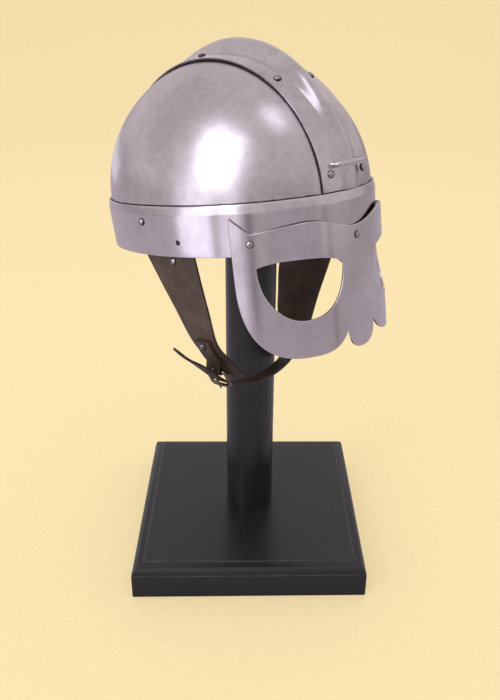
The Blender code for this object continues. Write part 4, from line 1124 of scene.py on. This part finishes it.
def strapSeat(edges, side, y, drop, lift):
    # A point lifted off a wide strap, the way out there and the way across the strap.
    step = strap["seatStep"]
    middle = strapSpot(edges, side, y, drop)
    rearwards = strapSpot(edges, side, y + step, drop) - middle
    upwards = strapSpot(edges, side, y, drop - step) - middle
    outwards = rearwards.cross(upwards).normalized() * side
    across = Vector((-outwards.y, outwards.x, 0)).normalized() * side
    return middle + outwards * lift, outwards, across


def makeRibbon(node, rows, thickness, materials, cutBevel):
    # A strip of leather from rows of points, with its cut edge as the rim material.
    bm = bmesh.new()
    fillGrid(bm, [[bm.verts.new(spot) for spot in row] for row in rows])
    finishPiece(f"{node}_hide", toMesh(f"{node}_hide", bm), materials, node,
                modifiers=[solidify(thickness, 0.0, rim=1), bevel(cutBevel, 3, creaseAngle),
                           weightedNormals])


def spread(middle, half, across):
    return [middle - half + half * 2 * i / across for i in range(across + 1)]


def makeWideStrap(side, label, drop, edgeMaterial):
    edges = strapEdges(side, strap[f"{label}Rows"], drop, strap["rows"])
    count = strap["across"]
    rows = [[bandCurved(side, front, rear, i / count) for i in range(count + 1)]
            for front, rear in edges]
    makeRibbon(f"strap_{label}", rows, strap["leather"], [hide["brown hide"], edgeMaterial],
               strap["cutBevel"])
    return edges


rightEdges = makeWideStrap(-1, "right", strap["dropRight"], hide["dark leather edge"])
leftEdges = makeWideStrap(1, "left", strap["dropLeft"], hide["cut leather edge"])

narrow = {
    "width": 0.0120, "leather": 0.0016, "rows": 110, "across": 6, "cutBevel": 0.0003,
    "endLength": 0.0060, "endShare": 0.35,
    "joinRear": 0.0060, "joinDrops": (0.1105, 0.1045, 0.0984), "joinRivetDrop": 0.1045,
    # across and in, as shares of the half width and the pinch; along, of the top width; down, of
    # the left drop; twist in degrees
    "route": [
        (-1, -0.686, -0.62, 0.543, -20),
        (-1, -0.332, -0.61, 0.630, -16),
        (-1, 0.067, -0.59, 0.704, -6),
        (-1, 0.452, -0.56, 0.782, 0),
        (-1, 0.841, -0.56, 0.868, 0),
        (-1, 1.283, -0.56, 0.936, 0),
        (-0.498, 0, -0.59, 0.974, 0),
        (-0.320, 0, -0.62, 0.988, 4),
        (-0.100, 0, -0.52, 1.004, 10),
        (0.147, 0, -0.36, 1.010, 16),
        (0.360, 0, -0.16, 1.018, 18),
        (0.520, 0, 0.00, 1.044, 21),
        (0.604, 0, 0.08, 1.034, 23),
    ],
}


def narrowLine(count):
    rows = []
    for across, pulledIn, along, down, twist in narrow["route"]:
        x = across * band["halfWidth"] + pulledIn * strap["pinch"]
        rows.append((x, along * strap["topWidth"], -down * strap["dropLeft"], twist))
    inside = -(strap["leather"] / 2 + curvedGap + narrow["leather"] / 2)
    for drop in narrow["joinDrops"]:
        point, outwards, _ = strapSeat(leftEdges, 1, narrow["joinRear"], drop, inside)
        rows.append((*point, degrees(atan2(outwards.y, outwards.x))))
    return [(Vector(row[:3]), radians(row[3])) for row in smoothRows(rows, count)]


def makeNarrowStrap(line):
    walked = 0.0
    rows = []
    for k, (point, twist) in enumerate(line):
        if k:
            walked += (point - line[k - 1][0]).length
        away = max(0.0, 1 - walked / narrow["endLength"])  # the free end is rounded
        width = narrow["width"] * max(narrow["endShare"], sqrt(1 - away * away))
        half = Vector((-sin(twist), cos(twist), 0)) * width / 2
        rows.append(spread(point, half, narrow["across"]))
    makeRibbon("strap_buckled", rows, narrow["leather"],
               [hide["dark narrow strap"], hide["dark leather edge"]], narrow["cutBevel"])


makeNarrowStrap(narrowLine(narrow["rows"]))

buckle = {
    "width": 0.0200, "length": 0.0150, "wire": 0.0013, "corner": 0.0030, "cornerSteps": 8,
    "tilt": 28.0, "lift": 0.00085, "in": 0.841, "along": -0.56, "down": 0.868, "seatRows": 48,
    "prong": 0.0009, "hookTurn": 250.0, "hookSteps": 24, "tip": 0.0012, "tipTaper": (0.55, 0.85),
}
chape = {
    "width": 0.0140, "leather": 0.0014, "across": 4, "cutBevel": 0.00025,
    "rises": (0.0335, 0.0245, 0.0165), "rivetRise": 0.0300,
    "bendStart": 190, "bendTurn": 160, "bendSteps": 12,
}
buckleDrop = buckle["down"] * strap["dropLeft"]
chapeRear = buckle["along"] * strap["topWidth"]


def buckleMatrix():
    # X runs along the strap towards its free end, Y across it, Z outwards.
    points = [point for point, _ in narrowLine(buckle["seatRows"])]
    wanted = buckle["in"] * strap["pinch"] - band["halfWidth"]
    middle = min(range(len(points)), key=lambda i: abs(points[i].x - wanted))
    along = (points[middle - 1] - points[middle + 1]).normalized()
    across = Vector((0, 1, 0))
    outwards = along.cross(across).normalized()
    turn = Matrix((along, across, outwards)).transposed().to_4x4()
    placeAt = Matrix.Translation(points[middle] - outwards * buckle["lift"])
    return placeAt @ turn @ Matrix.Rotation(radians(buckle["tilt"]), 4, "Y")


buckleAt = buckleMatrix()


def makeBuckle():
    halfX, halfY, corner = buckle["length"] / 2, buckle["width"] / 2, buckle["corner"]
    ring = []
    for quarter, (sx, sy) in enumerate(((1, 1), (-1, 1), (-1, -1), (1, -1))):
        for t in quarterTurns(buckle["cornerSteps"]):
            angle = radians(90 * quarter) + t
            ring.append(Vector((sx * (halfX - corner) + corner * cos(angle),
                                sy * (halfY - corner) + corner * sin(angle), 0)))
    rest = buckle["wire"] + gap + buckle["prong"]
    pin = [Vector((x, 0, rest)) for x in (-halfX - buckle["tip"], -halfX, 0)]
    for i in range(buckle["hookSteps"] + 1):
        angle = radians(90 - buckle["hookTurn"] * i / buckle["hookSteps"])
        pin.append(Vector((halfX + rest * cos(angle), 0, rest * sin(angle))))
    taper = [*buckle["tipTaper"]] + [1.0] * (len(pin) - len(buckle["tipTaper"]))
    look = (metal["aged buckle metal"], "buckle_metal")
    makeWire("buckle_frame_wire", "buckle_frame", [buckleAt @ p for p in ring], buckle["wire"],
             *look, closed=True)
    makeWire("buckle_prong_pin", "buckle_prong", [buckleAt @ p for p in pin], buckle["prong"],
             *look, taper=taper)


def makeChape():
    # Down the outside of the right strap, round the buckle's bar and up again underneath.
    bar = buckleAt @ Vector((buckle["length"] / 2, 0, 0))
    inner = strap["leather"] / 2 + gap + chape["leather"] / 2
    outer = inner + chape["leather"] + gap
    drops = [buckleDrop - rise for rise in chape["rises"]]
    down, up = (
        [strapSeat(rightEdges, -1, chapeRear, drop, lift)[::2] for drop in way]
        for lift, way in ((outer, drops), (inner, drops[::-1]))
    )
    bend = buckle["wire"] + gap + chape["leather"] / 2
    fold = []
    for i in range(chape["bendSteps"] + 1):
        angle = radians(chape["bendStart"] + chape["bendTurn"] * i / chape["bendSteps"])
        point = Vector((bar.x + bend * cos(angle), chapeRear, bar.z + bend * sin(angle)))
        fold.append((point, Vector((0, 1, 0))))
    rows = [spread(point, sideways * chape["width"] / 2, chape["across"])
            for point, sideways in down + fold + up]
    makeRibbon("strap_chape", rows, chape["leather"],
               [hide["brown hide"], hide["dark leather edge"]], chape["cutBevel"])


makeBuckle()
makeChape()


def makeStrapRivets():
    over = strap["leather"] / 2
    folded = 2 * (chape["leather"] + gap)
    for side, label, edges in ((-1, "right", rightEdges), (1, "left", leftEdges)):
        makeRivet(f"strap_flush_rivet_{label}",
                  *bandSpot(side, strap["flushRear"], strap["flushRise"]),
                  6 * gap + plate + band["taper"] + strap["leather"], "flush")
        seat = strapSeat(edges, side, strap["hemRear"], strap["hemDrop"], over)
        makeRivet(f"strap_hem_rivet_{label}", *seat[:2], strap["leather"] + curvedGap, "small")
    seat = strapSeat(rightEdges, -1, chapeRear, buckleDrop - chape["rivetRise"], over + folded)
    makeRivet("chape_rivet", *seat[:2], strap["leather"] + folded + gap, "small")
    seat = strapSeat(leftEdges, 1, narrow["joinRear"], narrow["joinRivetDrop"], over)
    makeRivet("join_rivet", *seat[:2], strap["leather"] + narrow["leather"] + 2 * curvedGap,
              "small")


makeStrapRivets()
print("chin strap and buckle made")


def makeBase():
    # A square foot: a quarter-round moulding between two small square steps.
    half, step, inset = stand["side"] / 2, stand["step"], stand["moulding"]
    drop = stand["height"] - stand["edgeHeight"] - 2 * step
    profile = [(half - inset, stand["height"])]
    for t in quarterTurns(stand["curveSteps"]):
        profile.append((half - inset + step + (inset - 2 * step) * sin(t),
                        stand["height"] - step - drop * (1 - cos(t))))
    profile += [(half - step, stand["edgeHeight"]), (half, stand["edgeHeight"]), (half, 0.0)]
    bm = bmesh.new()
    corners = ((1, 1), (-1, 1), (-1, -1), (1, -1))
    loops = [[bm.verts.new((sx * x, sy * x, z)) for sx, sy in corners] for x, z in profile]
    fillGrid(bm, [loop + loop[:1] for loop in loops])
    bm.faces.new(loops[0])
    bm.faces.new(loops[-1])
    finishPiece("base_board", toMesh("base_board", bm, sharp=35), [wood["black painted base"]],
                "stand_base",
                matrix=Matrix.Rotation(radians(stand["turn"]), 4, "Z"),
                modifiers=[bevel(stand["edgeRound"], 3, 40), weightedNormals])


def makePost():
    low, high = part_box("stand_post")[0][2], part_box("stand_post")[1][2]
    bm = bmesh.new()
    bmesh.ops.create_cone(bm, cap_ends=True, segments=stand["postSides"],
                          radius1=stand["postRadius"], radius2=stand["postRadius"],
                          depth=high - low, matrix=Matrix.Translation((0, 0, (low + high) / 2)))
    finishPiece("post_rod", toMesh("post_rod", bm, sharp=40), [wood["black painted post"]],
                "stand_post", matrix=Matrix())


makeBase()
makePost()
headMaterials = nodes["stand_head"].data.materials
headMaterials.clear()
headMaterials.append(wood["black painted post"])
print("stand made")

camera = {"place": (-0.4389, -0.4130, 0.4927), "azimuth": 48.908, "down": 26.281, "roll": 1.345,
          "lens": 39.93, "sensor": 36.0, "shift": (-0.0383, -0.0116), "nearest": 0.02}
studio = {
    # floor, bend and wall in metres; the glow keeps their colour even for the camera
    "floorColour": (0.530, 0.432, 0.244, 1.0), "floorGlow": (0.535, 0.436, 0.243),
    "floorMirrored": (0.62, 0.58, 0.60, 1.0), "wallMirrored": (0.34, 0.33, 0.32, 1.0),
    "behind": 1.9, "before": 4.0, "halfWidth": 6.0, "bendRadius": 1.6, "bendSteps": 24,
    "wallRise": 3.0, "wallRange": (0.1, 1.2), "underBase": -0.0004,
    "fibres": (150.0, 8.0, 0.75), "fibreRange": (0.3, 0.7, 0.92, 1.07),
    "skyColour": (0.88, 0.87, 0.88, 1.0), "skySeen": (1.30, 1.06, 0.60, 1.0),
    "skyStrength": 0.72,
    "middle": (0.0, 0.0, 0.36),
    # azimuth and height of the middle in degrees, distance, width, height, brightness, part
    "lights": {
        "window": (-89, 28, 1.6, 0.52, 0.96, 3.2, "both"),
        "window glow": (-91, 32, 2.0, 1.20, 1.70, 1.75, "mirrored"),
        "low window": (-79, -7, 0.8, 0.34, 0.42, 1.08, "mirrored"),
        "front panel": (-105, -5, 0.95, 0.27, 0.46, 0.66, "mirrored"),
        "rear panel": (10, -13, 1.8, 0.85, 0.60, 0.66, "mirrored"),
        "rib light": (-173, 72, 1.9, 0.50, 0.64, 1.40, "mirrored"),
        "ceiling": (55, 82, 1.9, 2.2, 2.2, 0.9, "soft"),
    },
    "lightColour": (0.83, 0.85, 1.0),
    # dark poles that polished steel mirrors: azimuth, distance, width, height
    "poles": {"near_pole": (-119.6, 1.5, 0.110, 0.60), "front_pole": (168, 1.5, 0.055, 0.56)},
    "poleSides": 24, "poleTaper": 0.84,
    # a grey screen that the front of the helmet mirrors: azimuth, distance, width, height
    "screen": (-158, 1.7, 1.7, 0.85), "screenColour": (0.66, 0.63, 0.64, 1.0),
    "dullness": 0.9,
}


def makeFloorMaterial():
    # Paper-coloured and evenly lit for the camera, grey and plain in what mirrors it.
    material, tree, shader = newMaterial("pale floor")
    seen = tree.nodes.new("ShaderNodeLightPath").outputs["Is Camera Ray"]
    place = tree.nodes.new("ShaderNodeTexCoord").outputs["Object"]
    colour = mixColour(tree, seen, studio["floorMirrored"], studio["floorColour"])
    paper = tree.nodes.new("ShaderNodeVectorMath")
    paper.operation = "SCALE"
    paper.inputs[0].default_value = studio["floorGlow"]
    shade = remap(tree, addNoise(tree, place, *studio["fibres"]), *studio["fibreRange"])
    tree.links.new(shade, paper.inputs["Scale"])
    onWall = remap(tree, splitPlace(tree, place)["Z"], *studio["wallRange"])
    mirrored = mixColour(tree, onWall, (0.0, 0.0, 0.0, 1.0), studio["wallMirrored"])
    glow = mixColour(tree, seen, mirrored, paper.outputs["Vector"])
    tree.links.new(colour, shader.inputs["Base Color"])
    tree.links.new(glow, shader.inputs["Emission Color"])
    for label, value in (("Roughness", studio["dullness"]), ("Specular IOR Level", 0.0),
                         ("Emission Strength", 1.0)):
        shader.inputs[label].default_value = value
    return material


def makeFloor():
    # One sheet: the floor, a wide bend and the wall behind, across the camera's view.
    radius, behind, half = studio["bendRadius"], studio["behind"], studio["halfWidth"]
    line = [(-studio["before"], 0.0), (0.0, 0.0)]
    line += [(behind + radius * sin(t), radius * (1 - cos(t)))
             for t in quarterTurns(studio["bendSteps"])]
    line.append((behind + radius, radius + studio["wallRise"]))
    bm = bmesh.new()
    fillGrid(bm, [[bm.verts.new((x, y, z)) for x in (-half, half)] for y, z in line])
    mesh = toMesh("floor", bm)
    mesh.materials.append(makeFloorMaterial())
    floor = addPiece("floor", mesh)
    turn = Matrix.Rotation(-radians(camera["azimuth"]), 4, "Z")
    floor.matrix_world = Matrix.Translation((0, 0, studio["underBase"])) @ turn


def towards(azimuth, rise, distance):
    level = cos(radians(rise)) * distance
    return Vector((level * sin(radians(azimuth)), level * cos(radians(azimuth)),
                   sin(radians(rise)) * distance))


def addAreaLight(name, azimuth, rise, distance, width, height, brightness, part):
    light = bpy.data.lights.new(name, "AREA")
    light.shape = "RECTANGLE"
    light.size = width
    light.size_y = height
    light.energy = brightness * pi * width * height
    light.color = studio["lightColour"]
    item = addPiece(name, light)
    away = towards(azimuth, rise, distance)
    item.location = Vector(studio["middle"]) + away
    item.rotation_euler = (-away).to_track_quat("-Z", "Y").to_euler()
    item.visible_camera = False
    item.visible_glossy = part != "soft"
    item.visible_diffuse = part != "mirrored"


def addProp(name, bm, azimuth, distance, rise, material):
    # Seen only in what mirrors it: it throws no shadow and no light on anything dull.
    mesh = toMesh(name, bm)
    mesh.materials.append(material)
    prop = addPiece(name, mesh)
    prop.location = towards(azimuth, 0.0, distance) + Vector((0, 0, rise))
    prop.rotation_euler = (0, 0, radians(-azimuth))
    prop.visible_camera = prop.visible_shadow = prop.visible_diffuse = False


def addProps():
    azimuth, distance, width, height = studio["screen"]
    bm = bmesh.new()
    corners = ((-1, 0), (1, 0), (1, 1), (-1, 1))
    bm.faces.new([bm.verts.new((x * width / 2, 0, z * height)) for x, z in corners])
    material, _, shader = newMaterial("grey screen")
    shader.inputs["Base Color"].default_value = studio["screenColour"]
    shader.inputs["Roughness"].default_value = studio["dullness"]
    addProp("grey_screen", bm, azimuth, distance, 0.0, material)
    for name, (azimuth, distance, width, height) in studio["poles"].items():
        bm = bmesh.new()
        bmesh.ops.create_cone(bm, cap_ends=True, segments=studio["poleSides"], depth=height,
                              radius1=width / 2, radius2=width / 2 * studio["poleTaper"])
        addProp(name, bm, azimuth, distance, height / 2, wood["black painted post"])


def makeStudio():
    world = bpy.data.worlds.new("studio")
    bpy.context.scene.world = world
    world.use_nodes = True
    tree = world.node_tree
    seen = tree.nodes.new("ShaderNodeLightPath").outputs["Is Camera Ray"]
    colour = mixColour(tree, seen, studio["skyColour"], studio["skySeen"])
    tree.links.new(colour, tree.nodes["Background"].inputs["Color"])
    tree.nodes["Background"].inputs["Strength"].default_value = studio["skyStrength"]
    for name, values in studio["lights"].items():
        addAreaLight(name, *values)
    addProps()
    bpy.context.scene.view_settings.view_transform = "Standard"


def makeCamera():
    azimuth, down, roll = (radians(camera[label]) for label in ("azimuth", "down", "roll"))
    forward = Vector((sin(azimuth) * cos(down), cos(azimuth) * cos(down), -sin(down)))
    right = forward.cross(Vector((0, 0, 1))).normalized()
    up = right.cross(forward)
    turnedRight = right * cos(roll) + up * sin(roll)
    turnedUp = up * cos(roll) - right * sin(roll)
    data = bpy.data.cameras.new("photo view")
    data.sensor_fit = "VERTICAL"
    data.sensor_height = camera["sensor"]
    data.lens = camera["lens"]
    data.shift_x, data.shift_y = camera["shift"]
    data.clip_start = camera["nearest"]
    item = addPiece("photo view", data)
    turn = Matrix((turnedRight, turnedUp, -forward)).transposed().to_4x4()
    item.matrix_world = Matrix.Translation(camera["place"]) @ turn
    bpy.context.scene.camera = item


makeFloor()
makeStudio()
makeCamera()
print("studio made")

bpy.context.view_layer.update()
